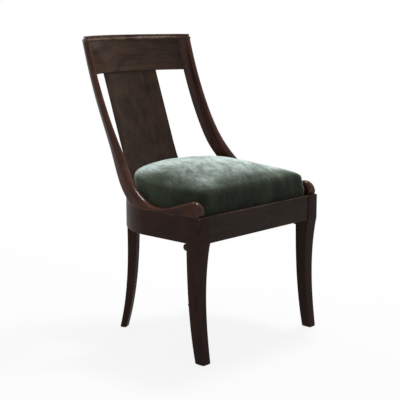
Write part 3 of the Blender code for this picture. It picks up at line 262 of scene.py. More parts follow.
# Painted sheen: base colour paled where the pile is seen at grazing views, fading towards the seat's lower
# edge
PAINTED_SHEEN_RANGE, PAINTED_SHEEN_POWER, PAINTED_SHEEN_LAY = (0.45, 0.79), 2.2, (0.38, 0.60, 0.35, 1.15)
PAINTED_SHEEN_HEIGHT = (RAIL_TOP + 0.044, RAIL_TOP + 0.084, 0.15, 1.0)

# Woven cloths: pitch of the threads, dark and light tone, relief
WEAVES = {"black_cambric_cloth": (0.0008, (0.004, 0.004, 0.0045), (0.016, 0.016, 0.017), 0.0002),
          "jute_webbing": (0.0024, (0.20, 0.15, 0.09), (0.46, 0.37, 0.25), 0.0005),
          "hessian_base": (0.0016, (0.15, 0.11, 0.06), (0.38, 0.29, 0.18), 0.0004)}
YARN, YARN_RANGE = (220.0, 220.0, 220.0), (0.3, 0.7, 0.55, 1.0)

# Darkened steel and planed beech
STEEL_STAIN = (300.0, 300.0, 300.0)
STEEL_DARK, STEEL_PALE = (0.12, 0.115, 0.11), (0.36, 0.35, 0.33)
BEECH_FIGURE, BEECH_FLECKS = (12.0, 60.0, 60.0), (120.0, 900.0, 900.0)
BEECH_GROUND, BEECH_PALE, BEECH_FLECK = (0.30, 0.18, 0.095), (0.44, 0.29, 0.17), (0.16, 0.085, 0.04)

# Camera, its angles in degrees, and the lamps: name, place, size, tint and the setting of the power
CAMERA_PLACE = (-2.1012, -1.7238 - MIDDLE, 0.9003)
CAMERA_DOWN = 10.4845
CAMERA_TURN = -47.167
SENSOR_WIDTH = 36.0
LAMP_TARGET = (0.0, 0.0, 0.45)
LAMPS = (("window_softbox", (0.95, 0.2, 2.6), (0.65, 0.55), (0.97, 0.98, 1.0), "window_power"),
         ("back_lamp", (0.75, 1.75, 2.35), (0.35, 0.35), (1.0, 1.0, 1.0), "back_power"),
         ("side_softbox", (-2.3, 0.2, 1.5), (1.4, 1.4), (0.93, 0.97, 1.0), "side_power"))

# Places that follow from the sizes
ARM_BASE = RAIL_TOP + FIT
LEDGE_Z = RAIL_TOP - REBATE_DEPTH
STILE_TOP_Y = SEAT_DEPTH + STILE_RAKE
SEAT_EDGE = RAIL_WALL + SEAT_PLAY
SEAT_FRONT = RAIL_SETBACK + FRONT_LIP + SEAT_PLAY
LEG_INNER = HALF_WIDTH - LEG_WIDTH


class WoodFinish(bpy.types.PropertyGroup):
    """Dark-stained mahogany with a rubbed polish."""

    deep: bpy.props.FloatVectorProperty(
        name="Deep stain", description="Colour of the dark grain", subtype="COLOR",
        size=3, min=0.0, max=1.0, default=(0.024, 0.0145, 0.0105))
    warm: bpy.props.FloatVectorProperty(
        name="Warm stain", description="Colour of the ground between the grain lines", subtype="COLOR",
        size=3, min=0.0, max=1.0, default=(0.094, 0.053, 0.033))
    # Also the colour of the painted light on the cap: paler all over, with a painted highlight along its
    # bead
    rubbed: bpy.props.FloatVectorProperty(
        name="Rubbed edge", description="Colour where handling has thinned the stain", subtype="COLOR",
        size=3, min=0.0, max=1.0, default=(0.20, 0.125, 0.09))
    red: bpy.props.FloatVectorProperty(
        name="Red stain", description="Tint of the stiles, legs, side and rear rails", subtype="COLOR",
        size=3, min=0.0, max=2.0, default=(1.2, 0.58, 0.44))
    polish: bpy.props.FloatProperty(
        name="Polish", description="Roughness of the rubbed polish", subtype="FACTOR",
        min=0.05, max=1.0, default=0.45)
    edge_round: bpy.props.FloatProperty(
        name="Edge round", description="Radius of the eased edges", unit="LENGTH",
        min=0.0003, max=0.003, default=0.0012)


class VelvetFinish(bpy.types.PropertyGroup):
    """Green cotton velvet over a stuffed drop-in seat."""

    deep: bpy.props.FloatVectorProperty(
        name="Deep pile", description="Colour looking into the pile", subtype="COLOR",
        size=3, min=0.0, max=1.0, default=(0.0078, 0.0092, 0.0062))
    ground: bpy.props.FloatVectorProperty(
        name="Pile", description="Colour of the pile seen from the side", subtype="COLOR",
        size=3, min=0.0, max=1.0, default=(0.024, 0.026, 0.017))
    # Colour of the painted sheen on pile seen at a slant and of the painted light on the flanks
    painted_nap_light: bpy.props.FloatVectorProperty(
        name="Nap", description="Colour of the pile seen at a slant", subtype="COLOR",
        size=3, min=0.0, max=1.0, default=(0.080, 0.102, 0.066))
    # Colour of the painted sheen at grazing views; it also tints the real sheen
    painted_sheen: bpy.props.FloatVectorProperty(
        name="Bloom", description="Colour of the light caught by the pile tips", subtype="COLOR",
        size=3, min=0.0, max=1.0, default=(0.57, 0.67, 0.625))
    fill: bpy.props.FloatProperty(
        name="Fill", description="How tightly the seat is stuffed", subtype="FACTOR",
        min=0.0, max=1.0, default=0.8)
    swell: bpy.props.FloatProperty(
        name="Swell", description="Furthest that the stuffing pushes the cover out", unit="LENGTH",
        min=0.0, max=0.02, default=0.004)


class StudioSettings(bpy.types.PropertyGroup):
    """Pale studio round the chair."""

    floor_colour: bpy.props.FloatVectorProperty(
        name="Floor", description="Colour of the floor", subtype="COLOR",
        size=3, min=0.0, max=1.0, default=(0.80, 0.80, 0.79))
    ambient: bpy.props.FloatProperty(
        name="Ambient", description="Strength of the even light from all round",
        min=0.0, max=2.0, default=0.52)
    window_power: bpy.props.FloatProperty(
        name="Window", description="Power of the softbox above the chair's right", unit="POWER",
        min=0.0, max=500.0, default=48.0)
    back_power: bpy.props.FloatProperty(
        name="Back", description="Power of the small lamp above and behind the chair", unit="POWER",
        min=0.0, max=500.0, default=6.0)
    side_power: bpy.props.FloatProperty(
        name="Side", description="Power of the softbox at the chair's left", unit="POWER",
        min=0.0, max=500.0, default=5.0)
    lens: bpy.props.FloatProperty(
        name="Lens", description="Focal length of the camera in millimetres",
        min=20.0, max=300.0, default=94.05)


def rounded(corners, radii, steps):
    """Polygons with their corners turned into arcs, along the last but one axis of corners.

    Each corner becomes a rational quadratic curve with the corner as its middle point: it starts
    one radius before the corner, ends one radius after it and is a circle's arc on a right angle.
    """
    before = np.roll(corners, 1, axis=-2) - corners
    after = np.roll(corners, -1, axis=-2) - corners
    radii = np.asarray(radii, float)[:, None]
    half_side = 0.48
    ends = []
    for side in (before, after):
        length = np.linalg.norm(side, axis=-1, keepdims=True)
        ends.append(corners + side * np.minimum(radii / length, half_side))
    t = np.linspace(0.0, 1.0, steps)[:, None]
    weights = ((1.0 - t) ** 2, 2.0 * math.sqrt(0.5) * t * (1.0 - t), t ** 2)
    places = (ends[0], corners, ends[1])
    curve = sum(w * place[..., None, :] for w, place in zip(weights, places)) / sum(weights)
    return curve.reshape(*corners.shape[:-2], -1, corners.shape[-1])


def corner_wear(corner_count, steps):
    """Wear along a rounded polygon: a half wave over each corner, nothing on the flats."""
    return np.tile(np.sin(np.pi * np.linspace(0.0, 1.0, steps)), corner_count)


def bezier(start, start_pull, end_pull, end, steps):
    """Points of a cubic Bezier curve from start to end, drawn towards the two pulls."""
    t = np.linspace(0.0, 1.0, steps)[:, None]
    return ((1 - t) ** 3 * start + 3 * (1 - t) ** 2 * t * start_pull
            + 3 * (1 - t) * t ** 2 * end_pull + t ** 3 * end)


def lengths_along(points):
    """Distance along a line of points from its first one."""
    steps = np.linalg.norm(np.diff(points, axis=0), axis=1)
    return np.concatenate([[0.0], np.cumsum(steps)])


def quarter(steps):
    """Angles of a quarter turn."""
    return np.linspace(0.0, math.pi / 2, steps)


def raised(plan_points, level):
    """Plan points with their height as third coordinate."""
    return np.concatenate([plan_points, np.broadcast_to(level, (*plan_points.shape[:-1], 1))], axis=-1)


def quad_faces(count, around, ring_closed):
    """Four-sided faces between neighbouring rings of a grid, as rows of point numbers."""
    index = np.arange(count * around).reshape(count, around)
    if ring_closed:
        index = np.concatenate([index, index[:1]])
    following = np.roll(index, -1, axis=1)
    return np.stack([index[:-1], following[:-1], following[1:], index[1:]], axis=-1).reshape(-1, 4)


def crescent_faces(ring, tip):
    """Faces that close a crescent: four-sided ones from its front to its back, and one on each rounded end.

    The ring runs round the left end, along the front, round the right end and along the back, with
    tip points in each end.
    """
    side = len(ring) // 2 - tip
    front, back = ring[tip:tip + side], ring[::-1][:side]
    across = np.stack([front[:-1], front[1:], back[1:], back[:-1]], axis=1)
    left = np.concatenate([ring[-1:], ring[:tip + 1]])
    return across, [left, ring[tip + side - 1:2 * tip + side + 1]]


def enclosed_volume(points, quads, ends):
    """Signed volume inside a closed surface: a sixth of the sum of its triangles' triple products."""
    triangles = [quads[:, [0, 1, 2]], quads[:, [0, 2, 3]]]
    for end in ends:
        triangles.append(np.stack([np.full(len(end) - 2, end[0]), end[1:-1], end[2:]], axis=1))
    a, b, c = np.moveaxis(points[np.concatenate(triangles)], 1, 0)
    return (a * np.cross(b, c)).sum() / 6.0


def surface(name, rings, attributes, ring_closed=False, tip=0):
    """Closed mesh through rings of points, an array of rings x points x 3, faces outwards.

    Like points of neighbouring rings are joined, and the first and last ring are closed with a
    face, or as a crescent that has tip points in each end, unless the rings run round. attributes
    gives a number or a vector for every point.
    """
    count, around = rings.shape[:2]
    points = (rings - np.array([0.0, MIDDLE, 0.0])).reshape(-1, 3)
    quads = quad_faces(count, around, ring_closed)
    first = np.arange(around)
    last = (count - 1) * around
    ends = [] if ring_closed else [first[::-1], first + last]
    if tip:
        across, tips = crescent_faces(first, tip)
        quads = np.concatenate([quads, across[:, ::-1], across + last])
        ends = [end[::-1] for end in tips] + [end + last for end in tips]
    if enclosed_volume(points, quads, ends) < 0.0:
        quads = quads[:, ::-1]
        ends = [end[::-1] for end in ends]
    mesh = bpy.data.meshes.new(name)
    mesh.from_pydata(points.tolist(), [], quads.tolist() + [end.tolist() for end in ends])
    for label, values in attributes.items():
        values = np.broadcast_to(values, (count, around, *values.shape[2:]))
        kind, field = ("FLOAT_VECTOR", "vector") if values.ndim == 3 else ("FLOAT", "value")
        layer = mesh.attributes.new(label, kind, "POINT")
        layer.data.foreach_set(field, np.ascontiguousarray(values, np.float32).ravel())
    mesh.shade_smooth()
    mesh.set_sharp_from_angle(angle=SHARP_EDGE)
    return mesh


def grain(along, across, depth, plank):
    """Place of each point inside its plank: along the grain, across it and through it, in metres.

    Every plank is cut from another part of the same endless block of wood.
    """
    along, across, depth = np.broadcast_arrays(along, across, depth)
    return np.stack([along, across, depth], axis=-1) + np.array(PLANK_SHIFT) * plank


def add_piece(mesh, body, slot, material, *nodes):
    """Show a mesh that rides on a body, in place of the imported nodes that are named."""
    piece = bpy.data.objects.new(mesh.name, mesh)
    bpy.context.scene.collection.objects.link(piece)
    mesh.materials.append(material)
    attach(piece, body)
    if nodes:
        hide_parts(*nodes)
    return piece


def add_wood(name, rings, attributes, like=None, tip=0):
    """Polished wood on the chair's frame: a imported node, or an addition stained like a kind of node."""
    kind = like or name.removeprefix("left_").removeprefix("right_")
    attributes["stain"] = np.full((1, 1), RED_SHARE.get(kind, 0.0))
    attributes.setdefault("dark", np.full((1, 1), DARK_SHARE.get(kind, 0.0)))
    mesh = surface(f"polished_{name}", rings, attributes, tip=tip)
    nodes = () if like else (name,)
    add_piece(mesh, "chair_frame", "mahogany", mahogany(GLOSS.get(kind, DULL_GLOSS)), *nodes)


def on_side(side, rings, attributes):
    """Shape given for the right side, moved to the asked side."""
    return rings * np.array([side, 1.0, 1.0]), attributes


class NodeTree:
    """Short calls for wiring the nodes of a material or a world."""

    def __init__(self, owner):
        self.tree = owner.node_tree
        self.tree.nodes.clear()

    def node(self, kind, inputs=None, **settings):
        """New node with its settings, its sockets linked to sources or set to constants."""
        made = self.tree.nodes.new(kind)
        for key, value in settings.items():
            setattr(made, key, value)
        for name, source in (inputs or {}).items():
            if isinstance(source, bpy.types.NodeSocket):
                self.tree.links.new(source, made.inputs[name])
            else:
                made.inputs[name].default_value = source
        return made

    def place(self):
        """Object coordinates."""
        return self.node("ShaderNodeTexCoord").outputs["Object"]

    def attribute(self, name, output="Fac"):
        """Number or vector that a mesh keeps for every point."""
        return self.node("ShaderNodeAttribute", attribute_name=name).outputs[output]

    def noise(self, vector, scale, detail=3.0, roughness=0.55, turn=0.0, distortion=0.0):
        """Noise over a vector turned about Z and stretched by a scale for each axis."""
        if turn:
            sockets = {"Vector": vector, "Angle": turn}
            vector = self.node("ShaderNodeVectorRotate", sockets, rotation_type="Z_AXIS").outputs["Vector"]
        mapping = self.node("ShaderNodeMapping", {"Vector": vector, "Scale": scale})
        sockets = {"Vector": mapping.outputs["Vector"], "Scale": 1.0, "Detail": detail,
                   "Roughness": roughness, "Distortion": distortion}
        return self.node("ShaderNodeTexNoise", sockets).outputs["Fac"]

    def spread(self, value, low, high, to_low=0.0, to_high=1.0):
        """Stretch a range of values onto another, clamped."""
        sockets = {"Value": value, "From Min": low, "From Max": high, "To Min": to_low, "To Max": to_high}
        return self.node("ShaderNodeMapRange", sockets, clamp=True).outputs["Result"]

    def math(self, operation, first, second=0.0):
        """Result of an operation on one or two values."""
        return self.node("ShaderNodeMath", {0: first, 1: second}, operation=operation).outputs["Value"]

    def times(self, first, second):
        """Product of two values."""
        return self.math("MULTIPLY", first, second)

    def plus(self, first, second):
        """Sum of two values."""
        return self.math("ADD", first, second)

    def mix(self, factor, first, second, blend="MIX"):
        """Blend of two colours."""
        sockets = {0: factor, 6: first, 7: second}
        return self.node("ShaderNodeMix", sockets, data_type="RGBA", blend_type=blend).outputs[2]

    def bump(self, height, distance, strength=1.0):
        """Surface relief from a height."""
        sockets = {"Strength": strength, "Distance": distance, "Height": height}
        return self.node("ShaderNodeBump", sockets).outputs["Normal"]

    def blend(self, factor, first, second):
        """Blend of two shaders."""
        return self.node("ShaderNodeMixShader", {0: factor, 1: first, 2: second}).outputs["Shader"]

    def principled(self, **inputs):
        """Principled surface, the spaces in its sockets' names written as underscores."""
        sockets = {name.replace("_", " "): source for name, source in inputs.items()}
        return self.node("ShaderNodeBsdfPrincipled", sockets).outputs["BSDF"]

    def show(self, shader, output="ShaderNodeOutputMaterial"):
        """Shader to the output."""
        self.node(output, {"Surface": shader})

    def shade(self, **inputs):
        """Principled surface to the output."""
        self.show(self.principled(**inputs))


def new_material(name):
    """Material by name, and its empty node tree when it is new."""
    material = bpy.data.materials.get(name)
    if material is not None:
        return material, None
    material = bpy.data.materials.new(name)
    material.use_nodes = True
    return material, NodeTree(material)


def colour(values):
    """Colour as four numbers, opaque."""
    return (*values, 1.0)


def mahogany(gloss):
    """Stained mahogany: ribbon figure, fine dark pores, rubbed edges and an uneven polish, with painted
    light on the cap and painted shade on the stiles.
    """
    material, tree = new_material(f"mahogany_gloss_{100.0 * gloss:.0f}")
    if tree is None:
        return material
    finish = bpy.context.scene.chair_wood
    place = tree.attribute("grain", "Vector")
    patches = tree.noise(place, PATCHES, detail=3.0, distortion=1.2)
    ribbon = tree.noise(place, RIBBON, detail=4.0, roughness=0.6)
    pores = tree.spread(tree.noise(place, PORES, detail=2.0), *PORE_RANGE)
    figure = tree.plus(tree.times(ribbon, RIBBON_SHARE), tree.times(patches, PATCH_SHARE))
    tone = tree.mix(tree.spread(figure, *FIGURE_RANGE), colour(finish.deep), colour(finish.warm))
    tone = tree.mix(pores, tone, colour([0.5 * c for c in finish.deep]))
    reddened = tree.mix(1.0, tone, colour(finish.red), "MULTIPLY")
    tone = tree.mix(tree.attribute("stain"), tone, reddened)
    # Darker stain by kind of piece; on the stiles also painted shade on the flat sides and the edges of the
    # rounded front
    tone = tree.mix(tree.attribute("dark"), tone, colour(DARKEST))
    # Rubbed edges, and on the cap painted light: paler all over, with a painted highlight along the bead
    rub_and_highlight = tree.times(tree.attribute("wear"), tree.spread(patches, *RUB_RANGE))
    tone = tree.mix(rub_and_highlight, tone, colour(finish.rubbed))
    rough = tree.plus(tree.spread(patches, *ROUGH_RANGE), finish.polish)
    relief = tree.math("SUBTRACT", tree.times(patches, PATCH_RELIEF), tree.times(pores, PORE_RELIEF))
    tree.shade(Base_Color=tone, Roughness=rough, Specular_IOR_Level=WOOD_SPECULAR, Coat_Weight=gloss,
               Coat_Roughness=COAT_ROUGHNESS, Normal=tree.bump(relief, WOOD_RELIEF))
    return material


class CHAIR_OT_stiles(bpy.types.Operator):
    """Swept stiles that run down from the cap and forward to the knobs over the front legs"""

    bl_idname = "chair.stiles"
    bl_label = "Stiles"

    def execute(self, context):
        ease = context.scene.chair_wood.edge_round
        for plank, (side_name, side) in enumerate(SIDES, 1):
            add_wood(f"{side_name}_stile", *on_side(side, *stile_surface(ease, plank)))
        return {"FINISHED"}


def flare(z, fade=STILE_FLARE):
    """Share of the stile's spread at height z: exponential of minus a power of the rise over the rail."""
    height, power = fade
    return np.exp(-(np.maximum(0.0, z - RAIL_TOP) / height) ** power)


def stile_inner(z):
    """Inner face of the stile at its front edge, spreading to the rail's inner wall."""
    return STILE_INNER + (HALF_WIDTH - RAIL_WALL - STILE_INNER) * flare(z, INNER_FLARE)


def stile_outer(z):
    """Outer face of the stile at its front edge, spreading to the rail's outer face."""
    top = STILE_INNER + STILE_WIDTH
    return top + (HALF_WIDTH - top) * flare(z)


def stile_edges():
    """Front and rear edge of the stile in side view, rows of (y, z), and where it lands on the rail.

    The front edge is a Bezier curve from the cap to the dip of the arm, a second one up to the knob
    and a quarter ellipse over the knob's front. The rear edge lies one depth behind it, level at the
    top and square to the curve below, and follows the rail once it reaches it.
    """
    fine, level_share, depth_power, toe_start = 241, 0.35, 1.6, 0.05
    top = np.array([STILE_TOP_Y, CAP_BASE - FIT])
    lean = np.array([-STILE_LEAN, -1.0]) / math.hypot(STILE_LEAN, 1.0)
    dip = np.array([ARM_DIP[0], RAIL_TOP + ARM_DIP[1]])
    knob = np.array([KNOB[0], RAIL_TOP + KNOB[1]])
    down = bezier(top, top + STILE_TOP_PULL * lean, dip + np.array([STILE_DIP_PULL, 0.0]), dip, fine)
    tangent = np.gradient(down, axis=0)
    tangent /= np.linalg.norm(tangent, axis=1)[:, None]
    share = np.linspace(0.0, 1.0, fine)
    level = np.clip(1.0 - share / level_share, 0.0, 1.0)[:, None]
    square = np.stack([-tangent[:, 1], tangent[:, 0]], axis=1)
    inward = square * (1.0 - level) + np.array([1.0, 0.0]) * level
    inward /= np.linalg.norm(inward, axis=1)[:, None]
    depth = STILE_DEPTH_TOP + (STILE_DEPTH_FOOT - STILE_DEPTH_TOP) * share ** depth_power
    to_rail = (down[:, 1] - ARM_BASE) / np.maximum(-inward[:, 1], 1e-6)
    behind = down + np.minimum(depth, to_rail)[:, None] * inward
    landing = behind[int(np.argmax(to_rail <= depth))][0]
    pull = np.array([KNOB_PULL, 0.0])
    rise = bezier(dip, dip - pull, knob + pull / 2, knob, 50)[1:]
    turn = quarter(22)[1:]
    nose = np.stack([KNOB[0] - (KNOB[0] - KNOB_FRONT) * np.sin(turn),
                     knob[1] - KNOB_ROUND * (1.0 - np.cos(turn))], axis=1)
    toe = KNOB[0] - (KNOB[0] - KNOB_FRONT - KNOB_TOE) * np.linspace(toe_start, 1.0, len(turn))
    foot = np.concatenate([rise[:, 0], toe])
    front = np.concatenate([down, rise, nose])
    rear = np.concatenate([behind, np.stack([foot, np.full(len(foot), ARM_BASE)], axis=1)])
    return front, rear, landing


def stile_heel(y, z, landing):
    """Inner and outer rear corner of the stile, turned in with the curve of the rail."""
    free = 1.0 - flare(z)
    reach = np.clip((np.minimum(y, landing) - SIDE_STRAIGHT) / (SEAT_DEPTH - SIDE_STRAIGHT), 0.0, 1.0)
    narrowed = (1.0 - reach ** PLAN_ROUNDNESS) ** (1.0 / PLAN_ROUNDNESS)
    turned = HALF_WIDTH * (1.0 - narrowed) + STILE_TURN * free
    inner = np.stack([stile_inner(z) - turned, y, z], axis=-1)
    outer = np.stack([stile_outer(z) - turned - STILE_SKEW[0] * free, y + STILE_SKEW[1] * free, z], axis=-1)
    return inner, outer


def stile_surface(ease, plank):
    """Rings of the right stile: front edge a half superellipse, flat sides, eased rear corners."""
    nose_steps, ease_steps = 27, 6
    front, rear, landing = stile_edges()
    inner, outer = stile_inner(front[:, 1]), stile_outer(front[:, 1])
    inward = rear - front
    depth = np.linalg.norm(inward, axis=1)
    inward /= depth[:, None]
    nose = np.minimum(SHOWN_NOSE, NOSE_LIMIT * np.minimum(outer - inner, depth))
    turn = np.linspace(0.0, math.pi, nose_steps)
    across = np.sign(np.cos(turn)) * np.abs(np.cos(turn)) ** NOSE_POWER
    x = ((inner + outer) / 2)[:, None] - ((outer - inner) / 2)[:, None] * across
    back = nose[:, None] * (1.0 - np.sin(turn) ** NOSE_POWER)
    side_view = front[:, None, :] + back[..., None] * inward[:, None, :]
    edge = np.concatenate([x[..., None], side_view], axis=-1)
    heel_in, heel_out = stile_heel(rear[:, 0], rear[:, 1], landing)
    box = np.stack([edge[:, 0], edge[:, -1], heel_out, heel_in], axis=1)
    heels = rounded(box, [0.0, 0.0, ease, ease], ease_steps)[:, 2 * ease_steps:]
    rings = np.concatenate([edge, heels], axis=1)
    wear = np.concatenate([NOSE_WEAR * np.sin(turn) ** 2, corner_wear(2, ease_steps)])[None, :]
    behind = ((rings[..., 1:] - front[:, None, :]) * inward[:, None, :]).sum(axis=-1)
    along = lengths_along((front + rear) / 2)[:, None]
    # Darker stain, plus painted shade: the flat sides and the edges of the rounded front darker than its
    # middle
    nose_dark_and_shade = STILE_NOSE_DARK_AND_SHADE[0] + STILE_NOSE_DARK_AND_SHADE[1] * (1.0 - np.sin(turn)) ** 2
    dark = np.concatenate([nose_dark_and_shade, np.full(2 * ease_steps, STILE_SIDE_DARK_AND_SHADE)])[None, :]
    return rings, {"grain": grain(along, rings[..., 0], behind, plank), "wear": wear, "dark": dark}


def stile_rear(z):
    """Inner and outer rear corner of the stile's free part at the heights z, in plan."""
    rear, landing = stile_edges()[1:]
    free = rear[:, 1] > ARM_BASE + FIT
    heights = rear[free, 1][::-1]
    corners = stile_heel(rear[free, 0], rear[free, 1], landing)
    return [np.stack([np.interp(z, heights, corner[::-1, k]) for k in (0, 1)], axis=-1)
            for corner in corners]


class CHAIR_OT_back(bpy.types.Operator):
    """Barrel-shaped crest rail, its moulded cap and the curved splat"""

    bl_idname = "chair.back"
    bl_label = "Crest, cap and splat"

    def execute(self, context):
        ease = context.scene.chair_wood.edge_round
        add_wood("crest_rail", *crest_surface(ease))
        add_wood("crest_cap", *cap_surface(ease), tip=CAP_TIP_STEPS)
        add_wood("splat", *splat_surface(ease))
        return {"FINISHED"}


def crest_middle(z):
    """Depth of the crest's front face at X = 0 and heights z, from where its ends meet the stiles."""
    inner = stile_rear(z)[0]
    return inner[..., 1] + CREST_RADIUS - np.sqrt(CREST_RADIUS ** 2 - inner[..., 0] ** 2)


def crest_lines(z, steps, gap):
    """Front and back line of the crest at each height z: arcs from stile to stile, left to right."""
    inner, outer = stile_rear(z)
    middle = crest_middle(z)[:, None]
    span = np.linspace(-1.0, 1.0, steps)
    front_x = (inner[:, :1] - gap) * span
    front_y = middle - CREST_RADIUS + np.sqrt(CREST_RADIUS ** 2 - front_x ** 2)
    sagitta = middle + CREST_THICKNESS - outer[:, 1:]
    radius = (outer[:, :1] ** 2 + sagitta ** 2) / (2.0 * sagitta)
    back_x = (outer[:, :1] - gap) * span
    back_y = middle + CREST_THICKNESS - radius + np.sqrt(radius ** 2 - back_x ** 2)
    return np.stack([front_x, front_y], axis=-1), np.stack([back_x, back_y], axis=-1)


def barrel_place(points):
    """Angle round the barrel's axis as a length on the crest's front face, and distance from the axis."""
    axis_y = float(crest_middle(np.array([CREST_BASE]))[0]) - CREST_RADIUS
    round_x = CREST_RADIUS * np.arctan2(points[..., 0], points[..., 1] - axis_y)
    return round_x, np.hypot(points[..., 0], points[..., 1] - axis_y)


def eased_levels(low, high, ease, steps):
    """Heights from low to high with a quarter round at the lower edge, and the inset at each."""
    turn = quarter(6)
    heights = np.concatenate([low + ease * (1.0 - np.cos(turn)), np.linspace(low + ease, high, steps)[1:]])
    insets = np.concatenate([ease * (1.0 - np.sin(turn)), np.zeros(steps - 1)])
    return heights, insets


def crest_surface(ease):
    """Rings of the crest at rising heights: front arc, back arc, eased lower edges."""
    heights, insets = eased_levels(CREST_BASE, CAP_BASE - FIT, ease, 26)
    front, back = crest_lines(heights, 65, FIT)
    front[..., 1] += insets[:, None]
    back[..., 1] -= insets[:, None]
    rings = raised(np.concatenate([front, back[:, ::-1]], axis=1), heights[:, None, None])
    round_x, radius = barrel_place(rings)
    wear = CREST_WEAR * np.clip(insets / ease, 0.0, 1.0)[:, None]
    return rings, {"grain": grain(round_x, rings[..., 2], radius, 3), "wear": wear}


def moved_out(outline, distance):
    """Closed outline moved outwards by each distance, square to its edges, with mitred corners."""
    edges = (outline - np.roll(outline, 1, axis=0), np.roll(outline, -1, axis=0) - outline)
    normals = [np.stack([edge[:, 1], -edge[:, 0]], axis=1) for edge in edges]
    normals = [normal / np.linalg.norm(normal, axis=1)[:, None] for normal in normals]
    mitre = normals[0] + normals[1]
    mitre /= 0.5 * (mitre ** 2).sum(axis=1)[:, None]
    return outline + distance[:, None, None] * mitre


def cap_surface(ease):
    """Cap moulding carried round the tops of crest and stiles: half round below, stepped band above."""
    z = CAP_BASE - FIT
    front, back = crest_lines(np.array([z]), 81, 0.0)
    inner, outer = stile_inner(z), stile_outer(z)
    width = outer - inner
    bend = np.append(np.linspace(0.0, CAP_TIP_BEND, CAP_TIP_STEPS - 1), math.pi)
    nose = min(STILE_NOSE, CAP_TIP_LIMIT * width)
    tip = np.stack([(inner + outer) / 2 - width / 2 * np.cos(bend),
                    STILE_TOP_Y + nose * (1.0 - np.sin(bend))], axis=1)
    outline = np.concatenate([tip[::-1] * np.array([-1.0, 1.0]), front[0], tip, back[0, ::-1]])
    upper = CAP_OVERHANG - CAP_STEP
    height = CAP_TOP - CAP_BASE
    turn = quarter(9)
    rise, draw = np.sin(turn), 1.0 - np.cos(turn)
    heights = np.concatenate([CAP_LIP * rise, CAP_LIP + (CAP_BEAD - CAP_LIP) * rise[1:],
                              [CAP_BEAD, CAP_BEAD], height - ease * (1.0 - rise)])
    swells = np.concatenate([CAP_OVERHANG * draw, CAP_OVERHANG - CAP_ROUND * draw[1:],
                             [upper + FIT, upper], upper - ease * draw])
    rings = raised(moved_out(outline, swells), CAP_BASE + heights[:, None, None])
    round_x, radius = barrel_place(rings)
    # Rubbed wear, partly painted light: the whole cap paler and a painted highlight along the bead, and a
    # rubbed top edge
    bead_end, edge_reach = 0.0004, 0.002
    bead_wear_and_highlight = np.clip((CAP_BEAD - heights) / bead_end + 0.5, 0.0, 1.0) * np.clip(heights / CAP_LIP, 0.0, 1.0)
    edge = np.exp(-((heights - height) / edge_reach) ** 2)
    wear = (CAP_WEAR_AND_PAINTED_LIGHT + BEAD_WEAR_AND_HIGHLIGHT * bead_wear_and_highlight + CAP_EDGE_WEAR * edge)[:, None]
    return rings, {"grain": grain(round_x, rings[..., 2], radius, 4), "wear": wear}


def splat_front(z):
    """Depth of the splat's front face at X = 0: straight below the crest, bent forward into the shoe."""
    top = float(crest_middle(np.array([CREST_BASE]))[0]) + SPLAT_RECESS
    foot = SEAT_DEPTH - RAIL_WALL / 2 - SPLAT_THICKNESS / 2
    level = top - SPLAT_LEAN * (CREST_BASE - SHOE_TOP)
    bend = np.maximum(0.0, SHOE_TOP + SPLAT_BEND - z) / SPLAT_BEND
    return top - SPLAT_LEAN * (CREST_BASE - z) - (level - foot) * bend ** 2


def splat_surface(ease):
    """Rings of the splat at rising heights: two arcs with the crest's curve, eased upright edges."""
    ease_steps, across_steps = 6, 41
    z = np.linspace(SHOE_TOP + FIT, CREST_BASE - FIT, 80)
    x = np.linspace(-SPLAT_HALF, SPLAT_HALF, across_steps)
    bow = CREST_RADIUS - np.sqrt(CREST_RADIUS ** 2 - x ** 2)
    near = np.stack(np.broadcast_arrays(x, splat_front(z)[:, None] - bow, z[:, None]), axis=-1)
    far = near + np.array([0.0, SPLAT_THICKNESS, 0.0])
    box = np.stack([near[:, 0], near[:, -1], far[:, -1], far[:, 0]], axis=1)
    turns = rounded(box, [ease] * 4, ease_steps).reshape(len(z), 4, ease_steps, 3)
    rings = np.concatenate([turns[:, 0], near[:, 1:-1], turns[:, 1],
                            turns[:, 2], far[:, -2:0:-1], turns[:, 3]], axis=1)
    turn_wear, flat_wear = corner_wear(1, ease_steps), np.zeros(across_steps - 2)
    wear = np.tile(np.concatenate([turn_wear, flat_wear, turn_wear]), 2)[None, :]
    round_x, radius = barrel_place(rings)
    return rings, {"grain": grain(rings[..., 2], round_x, radius, 5), "wear": wear}


class CHAIR_OT_rails(bpy.types.Operator):
    """Seat rails with their rebate, and the shoe that the splat stands in"""

    bl_idname = "chair.rails"
    bl_label = "Seat rails and shoe"

    def execute(self, context):
        ease = context.scene.chair_wood.edge_round
        for plank, (side_name, side) in enumerate(SIDES, 6):
            add_wood(f"{side_name}_side_rail", *on_side(side, *side_rail_surface(ease, plank)))
        add_wood("rear_rail", *rear_rail_surface(ease))
        add_wood("front_rail", *front_rail_surface(ease))
        add_wood("shoe", *shoe_surface(ease))
        return {"FINISHED"}


def plan(u, inset):
    """Seat plan at angle u from the right side round the back to the left, moved in by inset.

    Behind the straight sides the plan is a superellipse; the inset is measured along its normal.
    """
    cosine, sine = np.cos(u), np.sin(u)
    power, slope = 2.0 / PLAN_ROUNDNESS, PLAN_ROUNDNESS - 1.0
    run = SEAT_DEPTH - SIDE_STRAIGHT
    x = HALF_WIDTH * np.sign(cosine) * np.abs(cosine) ** power
    y = SIDE_STRAIGHT + run * np.abs(sine) ** power
    normal_x = np.sign(x) * np.abs(x / HALF_WIDTH) ** slope / HALF_WIDTH
    normal_y = ((y - SIDE_STRAIGHT) / run) ** slope / run
    length = np.hypot(normal_x, normal_y)
    return np.stack([x - inset * normal_x / length, y - inset * normal_y / length], axis=-1)


